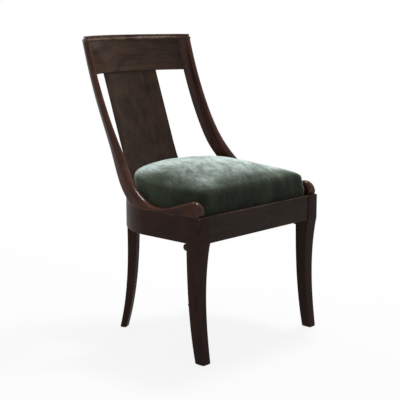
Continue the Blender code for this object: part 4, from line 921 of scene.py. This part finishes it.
def rail_profile(lip, ease):
    """Rail in section as (inset, z): full wall outside, ledge for the drop-in seat inside."""
    depth = lip + LEDGE_WIDTH
    corners = np.array([(0.0, RAIL_BOTTOM), (0.0, RAIL_TOP), (lip, RAIL_TOP), (lip, LEDGE_Z),
                        (depth, LEDGE_Z), (depth, RAIL_BOTTOM)])
    radii = [ease, ease, ease, ease / 2, ease / 2, ease]
    steps = 6
    return rounded(corners, radii, steps), corner_wear(len(corners), steps)


def swept(plan_points, profile, wear, plank):
    """Rings of a profile that stands on each line of plan points, with the grain along the lines."""
    along = lengths_along(plan_points[:, 0])[:, None]
    attributes = {"grain": grain(along, profile[:, 1], profile[:, 0], plank), "wear": wear[None, :]}
    return raised(plan_points, profile[:, 1:]), attributes


def side_rail_surface(ease, plank):
    """Right side rail: straight behind the leg, then round the rear corner to the joint."""
    profile, wear = rail_profile(RAIL_WALL, ease)
    y = np.linspace(LEG_DEPTH + FIT, SIDE_STRAIGHT, 12)[:-1, None]
    straight = np.stack(np.broadcast_arrays(HALF_WIDTH - profile[:, 0], y), axis=-1)
    curved = plan(np.linspace(0.0, JOINT_ANGLE, 90)[:, None], profile[:, 0])
    return swept(np.concatenate([straight, curved]), profile, wear, plank)


def rear_rail_surface(ease):
    """Rear rail: the same section between the two joints."""
    profile, wear = rail_profile(RAIL_WALL, ease)
    gap = FIT / SEAT_DEPTH
    u = np.linspace(JOINT_ANGLE + gap, math.pi - JOINT_ANGLE - gap, 70)[:, None]
    return swept(plan(u, profile[:, 0]), profile, wear, 8)


def front_rail_surface(ease):
    """Front rail: a straight run between the leg blocks."""
    profile, wear = rail_profile(FRONT_LIP, ease)
    x = np.linspace(-(LEG_INNER - FIT), LEG_INNER - FIT, 24)[:, None]
    points = np.stack(np.broadcast_arrays(x, RAIL_SETBACK + profile[:, 0]), axis=-1)
    return swept(points, profile, wear, 9)


def shoe_surface(ease):
    """Shoe on the rear rail, its ends cut on the slope of the stiles' heels.

    Every line of the profile runs round the plan from the angle where it meets the plane of the
    right heel to the same angle on the left.
    """
    base, steps = RAIL_TOP + FIT, 6
    corners = np.array([(0.0, base), (0.0, SHOE_TOP), (RAIL_WALL, SHOE_TOP), (RAIL_WALL, base)])
    profile = rounded(corners, [FIT, SHOE_ROUND, ease, FIT], steps)
    landing = stile_edges()[2]
    low_in, low_out = stile_heel(np.array([landing]), np.array([ARM_BASE]), landing)
    high_in = np.array([*stile_rear(np.array([SHOE_TOP]))[0][0], SHOE_TOP])
    heel = np.array([low_in[0], low_out[0], high_in]) + np.array([0.0, 2 * FIT, 0.0])
    normal = np.cross(heel[1] - heel[0], heel[2] - heel[0])
    normal *= np.sign(normal[1])
    angles = quarter(700)[:, None]
    places = plan(angles, profile[:, 0])
    over = (places - heel[0, :2]) @ normal[:2] + (profile[:, 1] - heel[0, 2]) * normal[2]
    first = np.argmax(over > 0.0, axis=0)
    column = np.arange(len(profile))
    below, above = over[first - 1, column], over[first, column]
    start = angles[first - 1, 0] + (angles[1, 0] - angles[0, 0]) * below / (below - above)
    share = np.linspace(0.0, 1.0, 140)[:, None]
    u = start + share * (math.pi - 2.0 * start)
    return swept(plan(u, profile[:, 0]), profile, corner_wear(len(corners), steps), 10)


class CHAIR_OT_legs(bpy.types.Operator):
    """Sabre legs: bowed in front under their blocks, swept back behind"""

    bl_idname = "chair.legs"
    bl_label = "Legs"

    def execute(self, context):
        ease = context.scene.chair_wood.edge_round
        for plank, (side_name, side) in enumerate(SIDES, 11):
            add_wood(f"{side_name}_front_leg", *on_side(side, *front_leg_surface(ease, plank)))
            add_wood(f"{side_name}_ear", *on_side(side, *ear_surface(ease, plank)), like="front_leg")
            add_wood(f"{side_name}_rear_leg", *on_side(side, *rear_leg_surface(ease, plank + 2)))
        return {"FINISHED"}


def leg_levels(top, ease, steps):
    """Heights of a leg's rings with a rounded foot and an eased top, and the inset at each."""
    turn = quarter(7)
    rise, draw = 1.0 - np.cos(turn), 1.0 - np.sin(turn)
    straight = np.linspace(FOOT_ROUND, top - ease, steps)[1:-1]
    heights = np.concatenate([FOOT_ROUND * rise, straight, top - ease * rise[::-1]])
    return heights, np.concatenate([FOOT_ROUND * draw, np.zeros(steps - 2), ease * draw[::-1]])


def leg_shape(corners, radii, inset, ease, plank):
    """Rings through the rounded corners of a leg, the grain upright, with light wear on edges and ends."""
    steps = 8
    rings = rounded(corners, radii, steps)
    edges = LEG_EDGE_WEAR * corner_wear(corners.shape[1], steps)
    wear = np.maximum(edges, np.minimum(inset / ease, LEG_END_WEAR)[:, None])
    return rings, {"grain": grain(corners[:, :1, 2], rings[..., 0], rings[..., 1], plank), "wear": wear}


def front_leg_surface(ease, plank):
    """Right front leg: the drop below the rail drives a bowed front, a tapering back and the width.

    Its six-cornered section keeps a step in the inner back corner. Above the ledge the step is the
    rebate for the seat, below it the step has no depth. The block's front edge is rounded over.
    """
    z, inset = leg_levels(RAIL_TOP, ease, 90)
    hair, step_width = 0.00001, 0.001
    turn = quarter(8)[:4]
    fresh = np.array([LEDGE_Z, LEDGE_Z + hair, *(RAIL_TOP - BLOCK_ROUND * (1.0 - np.sin(turn)))])
    spots = np.searchsorted(z, fresh)
    notched = np.arange(len(z) + len(fresh)) > spots[0]
    z, inset = np.insert(z, spots, fresh), np.insert(inset, spots, 0.0)
    over = np.clip((z - RAIL_TOP) / BLOCK_ROUND + 1.0, 0.0, 1.0)
    drop = np.clip(1.0 - z / RAIL_BOTTOM, 0.0, 1.0)
    front = LEG_BOW * np.sin(np.pi * drop ** BOW_POWER) - LEG_KICK * drop ** KICK_POWER
    front = front + np.maximum(inset, BLOCK_ROUND * (1.0 - np.sqrt(1.0 - over ** 2)))
    back = LEG_DEPTH - (LEG_DEPTH - FOOT_DEPTH + LEG_KICK) * drop ** BACK_POWER - inset
    half = (LEG_WIDTH - (LEG_WIDTH - FOOT_WIDTH) * drop) / 2 - inset
    middle = HALF_WIDTH - LEG_WIDTH / 2
    wall = np.full(len(z), HALF_WIDTH - RAIL_WALL)
    step_x = np.where(notched, wall, wall - step_width)
    step_y = np.where(notched, RAIL_SETBACK + FRONT_LIP, back)
    places = ((middle - half, front), (middle + half, front), (middle + half, back), (wall, back),
              (step_x, step_y), (middle - half, step_y))
    corners = raised(np.stack([np.stack(place, axis=-1) for place in places], axis=1), z[:, None, None])
    radii = [ease, LEG_CORNER, ease, ease / 3, ease / 3, ease]
    return leg_shape(corners, radii, inset, ease, plank)


def ear_surface(ease, plank):
    """Small round ear behind the right leg under the rail: circles along X with eased ends."""
    turn = quarter(6)
    inset, rise = ease * (1.0 - np.sin(turn)), ease * (1.0 - np.cos(turn))
    x = np.concatenate([LEG_INNER + EAR_INSET + rise, HALF_WIDTH - EAR_INSET - rise[::-1]])
    radius = EAR_RADIUS - np.concatenate([inset, inset[::-1]])
    angle = np.linspace(0.0, 2.0 * math.pi, 40, endpoint=False)
    y = LEG_DEPTH + EAR_REACH - EAR_RADIUS + radius[:, None] * np.cos(angle)
    z = RAIL_BOTTOM - EAR_DROP - EAR_RADIUS + radius[:, None] * np.sin(angle)
    rings = np.stack(np.broadcast_arrays(x[:, None], y, z), axis=-1)
    wear = (1.0 - radius / EAR_RADIUS)[:, None]
    return rings, {"grain": grain(rings[..., 2], rings[..., 0], rings[..., 1], plank), "wear": wear}


def rear_leg_surface(ease, plank):
    """Right rear leg: a tapering oblong turned with the rail, its centre run back by a power of the drop."""
    top = RAIL_BOTTOM - FIT
    z, inset = leg_levels(top, ease, 70)
    drop = (1.0 - z / top)[:, None]
    size = np.array(REAR_LEG_SIZE) + (np.array(REAR_FOOT_SIZE) - np.array(REAR_LEG_SIZE)) * drop
    half = size / 2 - inset[:, None]
    along = np.array([math.sin(REAR_LEG_YAW), math.cos(REAR_LEG_YAW)])
    across = np.array([along[1], -along[0]])
    centre = np.array([HALF_WIDTH - REAR_LEG_INSET, SEAT_DEPTH - REAR_LEG_SETBACK])
    centre = centre + drop ** REAR_KICK_POWER * np.array([-REAR_LEG_TUCK, REAR_LEG_KICK])
    signs = ((-1.0, -1.0), (1.0, -1.0), (1.0, 1.0), (-1.0, 1.0))
    plan_corners = [centre + a * half[:, :1] * across + b * half[:, 1:] * along for a, b in signs]
    corners = raised(np.stack(plan_corners, axis=1), z[:, None, None])
    return leg_shape(corners, [REAR_LEG_EASE * ease] * 4, inset, ease, plank)


class CHAIR_OT_seat(bpy.types.Operator):
    """Stuffed velvet seat with its hem turned under the seat frame"""

    bl_idname = "chair.seat"
    bl_label = "Velvet seat"

    def execute(self, context):
        finish = context.scene.chair_velvet
        seat_mesh = stuffed(surface("velvet_seat_start", seat_rings(SWELL_ROOM), {}), finish.swell)
        seat_mesh.name = "velvet_seat"
        seat = add_piece(seat_mesh, "seat", "velvet", velvet(), "velvet_cover", "seat_pad")
        smooth = seat.modifiers.new("smooth", "SUBSURF")
        smooth.levels = 1
        smooth.render_levels = 1
        hem_mesh, width, length = hem_surface()
        hem = add_piece(hem_mesh, "seat", "velvet", velvet())
        return {"FINISHED"}


def seat_plan(insets):
    """D-shaped outline of the seat for each inset: straight front and sides, round corners, curved rear."""
    insets = np.asarray(insets, float)[:, None]
    edge, front = SEAT_EDGE + insets, SEAT_FRONT + insets
    side = HALF_WIDTH - edge
    angle = np.linspace(math.pi / 2, 0.0, 9)[:-1]
    run = np.linspace(0.0, 1.0, 24)[:-1]
    corner_x = side - SEAT_CORNER + SEAT_CORNER * np.cos(angle)
    corner_y = front + SEAT_CORNER - SEAT_CORNER * np.sin(angle)
    front_x = run * (side - SEAT_CORNER)
    side_y = front + SEAT_CORNER + run * (SIDE_STRAIGHT - front - SEAT_CORNER)
    half_x = np.concatenate([front_x, corner_x, np.broadcast_to(side, side_y.shape)], axis=1)
    half_y = np.concatenate([np.broadcast_to(front, front_x.shape), corner_y, side_y], axis=1)
    half = np.stack([half_x, half_y], axis=-1)
    rear = plan(np.linspace(0.0, math.pi, 97), edge)
    other = half[:, :0:-1] * np.array([-1.0, 1.0])
    return np.concatenate([half, rear, other], axis=1)


def smooth_rows(rows, steps):
    """Rows of numbers with steps - 1 more between neighbours, on Catmull-Rom curves through them."""
    padded = np.concatenate([2 * rows[:1] - rows[1:2], rows, 2 * rows[-1:] - rows[-2:-1]])
    a, b, c, d = (padded[k:len(padded) - 3 + k, None, :] for k in range(4))
    t = np.linspace(0.0, 1.0, steps, endpoint=False)[None, :, None]
    curve = b + 0.5 * t * (c - a + t * (2 * a - 5 * b + 4 * c - d + t * (3 * (b - c) + d - a)))
    return np.concatenate([curve.reshape(-1, rows.shape[1]), rows[-1:]])


def rolled(roll, share):
    """Inset and drop of an elliptic roll after a share of its turn, reckoned from its upright start."""
    draw, rise, whole = roll
    return draw * (1.0 - math.cos(share * whole)), rise * (1.0 - math.sin(share * whole))


def seat_edge_rows(thin):
    """Edge of the cushion from its base to its roll: front inset, front z, rear inset, rear z.

    Both edges rise from the seat frame past a drawn-in neck. The front stands nearly upright to a
    small roll, the rear swells out over the shoe in a large one. thin lies inside the cover.
    """
    neck = SHOE_TOP + NECK_RISE
    front, rear = RAIL_TOP + FRONT_EDGE, RAIL_TOP + REAR_EDGE
    rows = [(SIDE_DRAW, PAD_BASE, SIDE_DRAW, PAD_BASE), (0.0, neck, 0.0, neck)]
    for share, swell in SIDE_SWELL:
        rows.append((0.0, neck + share * (front - neck), -swell * REAR_BULGE, neck + share * (rear - neck)))
    for share in ROLL_SHARES:
        front_in, front_drop = rolled(FRONT_ROLL, share)
        rear_in, rear_drop = rolled(REAR_ROLL, share)
        rows.append((front_in, front - front_drop, rear_in - REAR_BULGE, rear - rear_drop))
    return smooth_rows(np.array(rows), 5) + thin * np.array([1.0, 0.0, 1.0, 0.0])


def seat_rings(thin):
    """Rings of the stuffed seat: up its edge, blended from front to rear, then in over the crown.

    A ring of the crown is the edge drawn in to a share of its size, turning into an ellipse on the way.
    """
    rows = seat_edge_rows(thin)
    base = seat_plan([0.0])[0]
    start, run = SWELL_START * SIDE_STRAIGHT, SWELL_START * (SEAT_DEPTH - SIDE_STRAIGHT)
    behind = np.clip((base[:, 1] - start) / run, 0.0, 1.0)
    behind = behind * behind * (3.0 - 2.0 * behind)
    plain, swollen = seat_plan(rows[:, 0]), seat_plan(rows[:, 2])
    outline = plain + behind[:, None] * (swollen - plain)
    level = rows[:, 1, None] + behind * (rows[:, 3] - rows[:, 1])[:, None]
    sides = raised(outline, level[..., None])
    edge = sides[-1]
    middle = np.array([0.0, (SEAT_FRONT + SEAT_DEPTH - SEAT_EDGE) / 2])
    share = np.linspace(1.0, CROWN_CENTRE, 40)[1:, None, None]
    reach = edge[:, :2] - middle
    half_axes = np.array([edge[:, 0].max(), np.ptp(edge[:, 1]) / 2])
    ellipse = reach / np.linalg.norm(reach / half_axes, axis=1, keepdims=True)
    crown_plan = middle + share * (ellipse + share ** 3 * (reach - ellipse))
    crown_level = edge[:, 2:] + (CROWN_Z - thin - edge[:, 2:]) * (1.0 - share ** CROWN_POWER)
    return np.concatenate([sides, raised(crown_plan, crown_level)])


def softened(values, edges, pull, rounds):
    """Values at points drawn by their pull to the mean of their neighbours, again and again."""
    ends, others = edges.ravel(), edges[:, ::-1].ravel()
    counts = np.bincount(ends)[:, None]
    for _ in range(rounds):
        sums = np.stack([np.bincount(ends, weights=values[others, k]) for k in range(3)], axis=1)
        values = values + pull * (sums / counts - values)
    return values


def stuffed(start, swell):
    """Blow the cover out over its stuffing by cloth simulation, moving no point more than the swell.

    The base is pinned on the seat frame, the neck above it moves least, and neighbours move alike.
    """
    scene = bpy.context.scene
    blank = bpy.data.objects.new("seat_blank", start)
    scene.collection.objects.link(blank)
    remesh = blank.modifiers.new("even", "REMESH")
    remesh.mode = "VOXEL"
    remesh.voxel_size = VOXEL
    even = bpy.data.meshes.new_from_object(blank.evaluated_get(bpy.context.evaluated_depsgraph_get()))
    bpy.data.objects.remove(blank)
    rest = np.empty(3 * len(even.vertices), np.float32)
    even.vertices.foreach_get("co", rest)
    edges = np.empty(2 * len(even.edges), np.int32)
    even.edges.foreach_get("vertices", edges)
    edges = edges.reshape(-1, 2)
    rest = rest.reshape(-1, 3).astype(float)
    share = np.clip((rest[:, 2:] - GIVES_ABOVE) / (FREE_ABOVE - GIVES_ABOVE), 0.0, 1.0)
    rest = softened(rest, edges, NEIGHBOUR_PULL * share, SHAPE_ROUNDS)
    even.vertices.foreach_set("co", rest.astype(np.float32).ravel())
    even.update()
    moved = simulated(even, rest)
    travel = moved - rest
    distance = np.linalg.norm(travel, axis=1, keepdims=True)
    travel = travel * np.minimum(1.0, swell * share / np.maximum(distance, 1e-9))
    moved = rest + softened(travel, edges, NEIGHBOUR_PULL * share, TRAVEL_ROUNDS)
    even.vertices.foreach_set("co", moved.astype(np.float32).ravel())
    even.shade_smooth()
    even.update()
    return even


def simulated(even, rest):
    """Points of an even mesh after its cloth has been blown out for a few frames."""
    scene = bpy.context.scene
    cover = bpy.data.objects.new("seat_cover", even)
    scene.collection.objects.link(cover)
    pins = cover.vertex_groups.new(name="base")
    pins.add(np.flatnonzero(rest[:, 2] < PINNED_BELOW).tolist(), 1.0, "REPLACE")
    cloth = cover.modifiers.new("stuffing", "CLOTH")
    cloth.settings.use_pressure = True
    cloth.settings.uniform_pressure_force = PRESSURE
    cloth.settings.effector_weights.gravity = 0.0
    cloth.settings.vertex_group_mass = pins.name
    cloth.settings.quality = 5
    first, last = SIM_FRAMES
    cloth.point_cache.frame_start = first
    cloth.point_cache.frame_end = last
    for step in range(first, last + 1):
        scene.frame_set(step)
    blown = cover.evaluated_get(bpy.context.evaluated_depsgraph_get()).data
    moved = np.empty(3 * len(blown.vertices), np.float32)
    blown.vertices.foreach_get("co", moved)
    bpy.data.objects.remove(cover)
    scene.frame_set(first)
    return moved.reshape(-1, 3).astype(float)


def hem_surface():
    """Cover below the cushion: a thin band down the seat frame and under it, its flat width and its length.

    The band's section is carried round the seat's outline and turns under the frame with a round edge.
    """
    neck = SHOE_TOP + NECK_RISE
    above, below = 0.0045, 0.002
    outer = np.array([(HEM_TUCK, neck + above), (HEM_NECK, neck - below), (HEM_OUT, PAD_BASE),
                      (SIDE_DRAW, HEM_Z), (COVER_HEM, HEM_Z)])
    inner = outer[:-1] + np.array([COVER_THICKNESS, 0.0])
    inner[-1, 1] += COVER_THICKNESS
    corners = np.concatenate([outer, [(COVER_HEM, HEM_Z + COVER_THICKNESS)], inner[::-1]])
    section = rounded(corners, HEM_RADII, 5)
    plan_points = np.swapaxes(seat_plan(section[:, 0]), 0, 1)
    mesh = surface("velvet_hem", raised(plan_points, section[:, 1:]), {}, ring_closed=True)
    loop = seat_plan([SIDE_DRAW])[0]
    length = lengths_along(np.concatenate([loop, loop[:1]]))[-1]
    return mesh, float(lengths_along(outer)[-1]), float(length)


def velvet():
    """Cotton velvet: brushed streaks, crushed patches, fine pile and painted sheen in the base colour.

    Painted sheen pales the pile seen at a slant, and paler still at grazing views, where it fades towards
    the seat's lower edge; painted light makes the flanks lighter than the front from any side.
    """
    material, tree = new_material("green_velvet")
    if tree is None:
        return material
    finish = bpy.context.scene.chair_velvet
    place = tree.place()
    crush = tree.noise(place, CRUSH, detail=3.0, turn=BRUSHED, distortion=0.8)
    streaks = tree.noise(place, STREAKS, detail=5.0, roughness=0.65, turn=BRUSHED, distortion=0.6)
    pile = tree.noise(place, PILE, detail=1.0)
    lay = tree.plus(tree.times(crush, CRUSH_SHARE), tree.times(streaks, STREAK_SHARE))
    tone = tree.mix(tree.spread(lay, *LAY_RANGE), colour(finish.deep), colour(finish.ground))
    tone = tree.mix(tree.spread(pile, *PILE_RANGE), tone, colour([0.5 * c for c in finish.deep]))
    relief = tree.plus(tree.times(lay, LAY_RELIEF), tree.times(pile, PILE_RELIEF))
    normal = tree.bump(relief, VELVET_RELIEF, RELIEF_STRENGTH)
    facing = tree.node("ShaderNodeLayerWeight", {"Normal": normal}).outputs["Facing"]
    slope = tree.plus(facing, tree.times(tree.math("SUBTRACT", lay, 0.5), STIRRED))
    # Painted light: flanks lighter than the front; painted sheen: nap colour on pile seen at a slant
    parts = tree.node("ShaderNodeSeparateXYZ", {"Vector": place}).outputs
    painted_flank_light = tree.spread(tree.math("ABSOLUTE", parts["X"]), *PAINTED_FLANK_X)
    painted_flank_light = tree.times(painted_flank_light, tree.spread(parts["Y"], *PAINTED_FLANK_Y))
    painted_nap_light = tree.math("POWER", tree.spread(slope, *PAINTED_NAP_RANGE), PAINTED_NAP_POWER)
    painted_nap_light = tree.times(tree.math("MAXIMUM", painted_nap_light, painted_flank_light), tree.spread(lay, *PAINTED_NAP_LAY))
    tone = tree.mix(painted_nap_light, tone, colour(finish.painted_nap_light))
    # Painted sheen: pale colour where the pile is seen at grazing views, fading towards the seat's lower
    # edge
    tips = tree.math("POWER", tree.spread(slope, *PAINTED_SHEEN_RANGE), PAINTED_SHEEN_POWER)
    tips = tree.times(tips, tree.spread(lay, *PAINTED_SHEEN_LAY))
    tips = tree.times(tips, tree.spread(parts["Z"], *PAINTED_SHEEN_HEIGHT))
    tone = tree.mix(tips, tone, colour(finish.painted_sheen))
    tree.shade(Base_Color=tone, Roughness=0.95, Specular_IOR_Level=0.05, Sheen_Weight=0.35,
               Sheen_Roughness=0.4, Sheen_Tint=colour(finish.painted_sheen), Normal=normal)
    return material


class CHAIR_OT_dust_cloth(bpy.types.Operator):
    """Black cloth stretched under the seat frame, with the tacks that hold it"""

    bl_idname = "chair.dust_cloth"
    bl_label = "Dust cloth"

    def execute(self, context):
        mesh, flat, area = dust_cloth_surface()
        cloth = add_piece(mesh, "seat", "black_cambric", woven("black_cambric_cloth"), "dust_cloth")
        add_piece(tack_surface(), "seat", "steel", blued_steel())
        return {"FINISHED"}


def dust_cloth_surface():
    """Cloth as a closed thin sheet: rings from the middle out below and back above, sagging in the middle.

    Its flat size is that of the outline's box, and its area the outline's by the sum of cross products.
    """
    outline = seat_plan([CLOTH_INSET])[0]
    middle = np.array([0.0, outline[:, 1].mean()])
    share = np.linspace(CLOTH_CENTRE, 1.0, 30)
    both = np.concatenate([share, share[::-1]])[:, None, None]
    plan_points = middle + both * (outline - middle)
    face = np.concatenate([np.full(len(share), CLOTH_THICKNESS), np.zeros(len(share))])[:, None, None]
    level = CLOTH_TOP - face - CLOTH_SAG * (1.0 - both ** 2)
    mesh = surface("dust_cloth_sheet", raised(plan_points, level), {})
    size = outline.max(axis=0) - outline.min(axis=0)
    x, y = outline.T
    area = 0.5 * abs(float((x * np.roll(y, -1) - y * np.roll(x, -1)).sum()))
    return mesh, (float(size[0]), float(size[1])), area


def tack_surface():
    """Round-headed tacks along the cloth's edge: one dome, repeated at even distances."""
    around, rise = 10, 4
    loop = seat_plan([TACK_INSET])[0]
    loop = np.concatenate([loop, loop[:1]])
    run = lengths_along(loop)
    at = np.linspace(0.0, run[-1], TACK_COUNT, endpoint=False)
    centre = np.stack([np.interp(at, run, loop[:, k]) for k in (0, 1)], axis=1)
    turn = quarter(rise)[:, None]
    angle = np.linspace(0.0, 2.0 * math.pi, around, endpoint=False)
    radius = TACK_RADIUS * np.cos(turn) + TACK_TIP * np.sin(turn)
    level = CLOTH_TOP - CLOTH_THICKNESS - TACK_GAP - TACK_RISE * np.sin(turn)
    dome = np.stack(np.broadcast_arrays(radius * np.cos(angle), radius * np.sin(angle), level), axis=-1)
    shift = np.column_stack([centre - np.array([0.0, MIDDLE]), np.zeros(TACK_COUNT)])
    points = (dome.reshape(1, -1, 3) + shift[:, None, :]).reshape(-1, 3)
    quads = quad_faces(rise, around, False)[:, ::-1]
    base, top = np.arange(around), np.arange(around)[::-1] + (rise - 1) * around
    step = (np.arange(TACK_COUNT) * rise * around)[:, None, None]
    faces = (quads[None] + step).reshape(-1, 4).tolist()
    faces += (base[None, None] + step).reshape(-1, around).tolist()
    faces += (top[None, None] + step).reshape(-1, around).tolist()
    mesh = bpy.data.meshes.new("cloth_tacks")
    mesh.from_pydata(points.tolist(), [], faces)
    mesh.shade_smooth()
    mesh.set_sharp_from_angle(angle=TACK_SHARP_EDGE)
    return mesh


def woven(name):
    """Plain weave on Object coordinates: crossed waves of threads at a pitch, with uneven yarn."""
    material, tree = new_material(name)
    if tree is None:
        return material
    pitch, dark, light, relief = WEAVES[name]
    place = tree.place()
    sockets = {"Vector": place, "Scale": math.pi / (10.0 * pitch), "Distortion": 0.6}
    threads = [tree.node("ShaderNodeTexWave", sockets, wave_type="BANDS", bands_direction=direction,
                         wave_profile="SIN").outputs["Fac"] for direction in ("X", "Y")]
    weave = tree.math("MAXIMUM", *threads)
    shade = tree.times(weave, tree.spread(tree.noise(place, YARN, detail=2.0), *YARN_RANGE))
    tree.shade(Base_Color=tree.mix(shade, colour(dark), colour(light)), Roughness=0.95,
               Specular_IOR_Level=0.2, Normal=tree.bump(weave, relief))
    return material


def blued_steel():
    """Small steel fastenings, darkened and scratched."""
    material, tree = new_material("darkened_steel")
    if tree is None:
        return material
    stain = tree.noise(tree.place(), STEEL_STAIN, detail=3.0)
    tone = tree.mix(tree.spread(stain, 0.35, 0.65), colour(STEEL_DARK), colour(STEEL_PALE))
    tree.shade(Base_Color=tone, Metallic=1.0, Roughness=tree.spread(stain, 0.3, 0.7, 0.3, 0.55))
    return material


class CHAIR_OT_inner_frame(bpy.types.Operator):
    """Finishes of the pieces inside: blocks, dowels, screws, seat frame, webbing and base cloth"""

    bl_idname = "chair.inner_frame"
    bl_label = "Inner frame"

    def execute(self, context):
        finishes = {"screw": blued_steel(), "strap": woven("jute_webbing"),
                    "base_cloth": woven("hessian_base"), "block": beech(), "dowel": beech(),
                    "seat_bar": beech()}
        for name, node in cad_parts.items():
            for word, finish in finishes.items():
                if word in name:
                    node.material_slots[0].material = finish
                    break
        return {"FINISHED"}


def beech():
    """Planed beech: pale ground with short darker flecks along the grain."""
    material, tree = new_material("planed_beech")
    if tree is None:
        return material
    place = tree.place()
    figure = tree.noise(place, BEECH_FIGURE, detail=3.0)
    flecks = tree.noise(place, BEECH_FLECKS, detail=2.0)
    tone = tree.mix(tree.spread(figure, 0.35, 0.65), colour(BEECH_GROUND), colour(BEECH_PALE))
    tone = tree.mix(tree.spread(flecks, 0.58, 0.68, 0.0, 0.6), tone, colour(BEECH_FLECK))
    tree.shade(Base_Color=tone, Roughness=tree.spread(figure, 0.3, 0.7, 0.55, 0.75),
               Normal=tree.bump(flecks, 0.0002))
    return material


class CHAIR_OT_studio(bpy.types.Operator):
    """Pale floor, soft light and the camera in front of the chair's left corner"""

    bl_idname = "chair.studio"
    bl_label = "Studio"

    def execute(self, context):
        studio = context.scene.chair_studio
        context.scene.view_settings.view_transform = "Standard"
        floor(studio.floor_colour)
        surroundings(studio.ambient)
        for name, place, size, tint, power in LAMPS:
            softbox(name, place, size, tint, getattr(studio, power))
        camera = bpy.data.cameras.new("portrait")
        camera.lens = studio.lens
        camera.sensor_width = SENSOR_WIDTH
        holder = bpy.data.objects.new("portrait", camera)
        holder.location = CAMERA_PLACE
        holder.rotation_euler = (math.radians(90.0 - CAMERA_DOWN), 0.0, math.radians(CAMERA_TURN))
        context.scene.collection.objects.link(holder)
        context.scene.camera = holder
        return {"FINISHED"}


def seen_as_background(tree):
    """One where a camera, glossy or transmission ray asks for the background, zero for diffuse light."""
    path = tree.node("ShaderNodeLightPath").outputs
    seen = tree.plus(path["Is Camera Ray"], path["Is Glossy Ray"])
    seen = tree.plus(seen, path["Is Transmission Ray"])
    return tree.math("MINIMUM", seen, 1.0)


def floor(tone):
    """Wide pale floor that keeps the chair's shadow and fades to the white background far out."""
    half, clear, white, paleness = 14.0, 0.7, 1.8, 0.86
    corner = np.array([(-1.0, -1.0, 0.0), (1.0, -1.0, 0.0), (1.0, 1.0, 0.0), (-1.0, 1.0, 0.0)]) * half
    mesh = bpy.data.meshes.new("floor")
    mesh.from_pydata(corner.tolist(), [], [(0, 1, 2, 3)])
    ground = bpy.data.objects.new("floor", mesh)
    bpy.context.scene.collection.objects.link(ground)
    material, tree = new_material("pale_floor")
    distance = tree.node("ShaderNodeVectorMath", {0: tree.place()}, operation="LENGTH").outputs["Value"]
    fade = tree.times(tree.spread(distance, clear, white, paleness, 1.0), seen_as_background(tree))
    shader = tree.principled(Base_Color=colour(tone), Roughness=0.9, Specular_IOR_Level=0.1)
    glow = tree.node("ShaderNodeEmission").outputs["Emission"]
    tree.show(tree.blend(fade, shader, glow))
    mesh.materials.append(material)


def surroundings(ambient):
    """World: white where it is seen, an even dim light on the chair."""
    world = bpy.data.worlds.new("studio")
    world.use_nodes = True
    tree = NodeTree(world)
    dim, white = (tree.node("ShaderNodeBackground", {"Color": (1.0, 1.0, 1.0, 1.0), "Strength": strength})
                  for strength in (ambient, 1.0))
    shader = tree.blend(seen_as_background(tree), dim.outputs["Background"], white.outputs["Background"])
    tree.show(shader, "ShaderNodeOutputWorld")
    bpy.context.scene.world = world


def softbox(name, place, size, tint, power):
    """Rectangular area lamp aimed at the chair."""
    lamp = bpy.data.lights.new(name, "AREA")
    lamp.shape = "RECTANGLE"
    lamp.size, lamp.size_y = size
    lamp.energy = power
    lamp.color = tint
    holder = bpy.data.objects.new(name, lamp)
    holder.location = place
    aim = holder.location.copy()
    aim.x, aim.y, aim.z = (t - p for t, p in zip(LAMP_TARGET, place))
    holder.rotation_euler = aim.to_track_quat("-Z", "Y").to_euler()
    bpy.context.scene.collection.objects.link(holder)


STEPS = (CHAIR_OT_stiles, CHAIR_OT_back, CHAIR_OT_rails, CHAIR_OT_legs, CHAIR_OT_seat,
         CHAIR_OT_dust_cloth, CHAIR_OT_inner_frame, CHAIR_OT_studio)


class CHAIR_PT_sidebar(bpy.types.Panel):
    """Steps and finishes of the chair"""

    bl_label = "Gondola Chair"
    bl_idname = "CHAIR_PT_sidebar"
    bl_space_type = "VIEW_3D"
    bl_region_type = "UI"
    bl_category = "Chair"

    def draw(self, context):
        for step in STEPS:
            self.layout.operator(step.bl_idname)
        for settings in SETTINGS:
            group = getattr(context.scene, settings)
            for name in group.__annotations__:
                self.layout.prop(group, name)


SETTINGS = {"chair_wood": WoodFinish, "chair_velvet": VelvetFinish, "chair_studio": StudioSettings}
CLASSES = (*SETTINGS.values(), *STEPS, CHAIR_PT_sidebar)


def register():
    """Add the settings, the steps and the panel."""
    for item in CLASSES:
        bpy.utils.register_class(item)
    for name, group in SETTINGS.items():
        setattr(bpy.types.Scene, name, bpy.props.PointerProperty(type=group))


def unregister():
    """Take them out again."""
    for name in SETTINGS:
        delattr(bpy.types.Scene, name)
    for item in reversed(CLASSES):
        bpy.utils.unregister_class(item)


def main():
    """Dress the frame piece by piece and set the studio."""
    register()
    for step in STEPS:
        area, name = step.bl_idname.split(".")
        getattr(getattr(bpy.ops, area), name)()


if __name__ == "__main__":
    main()
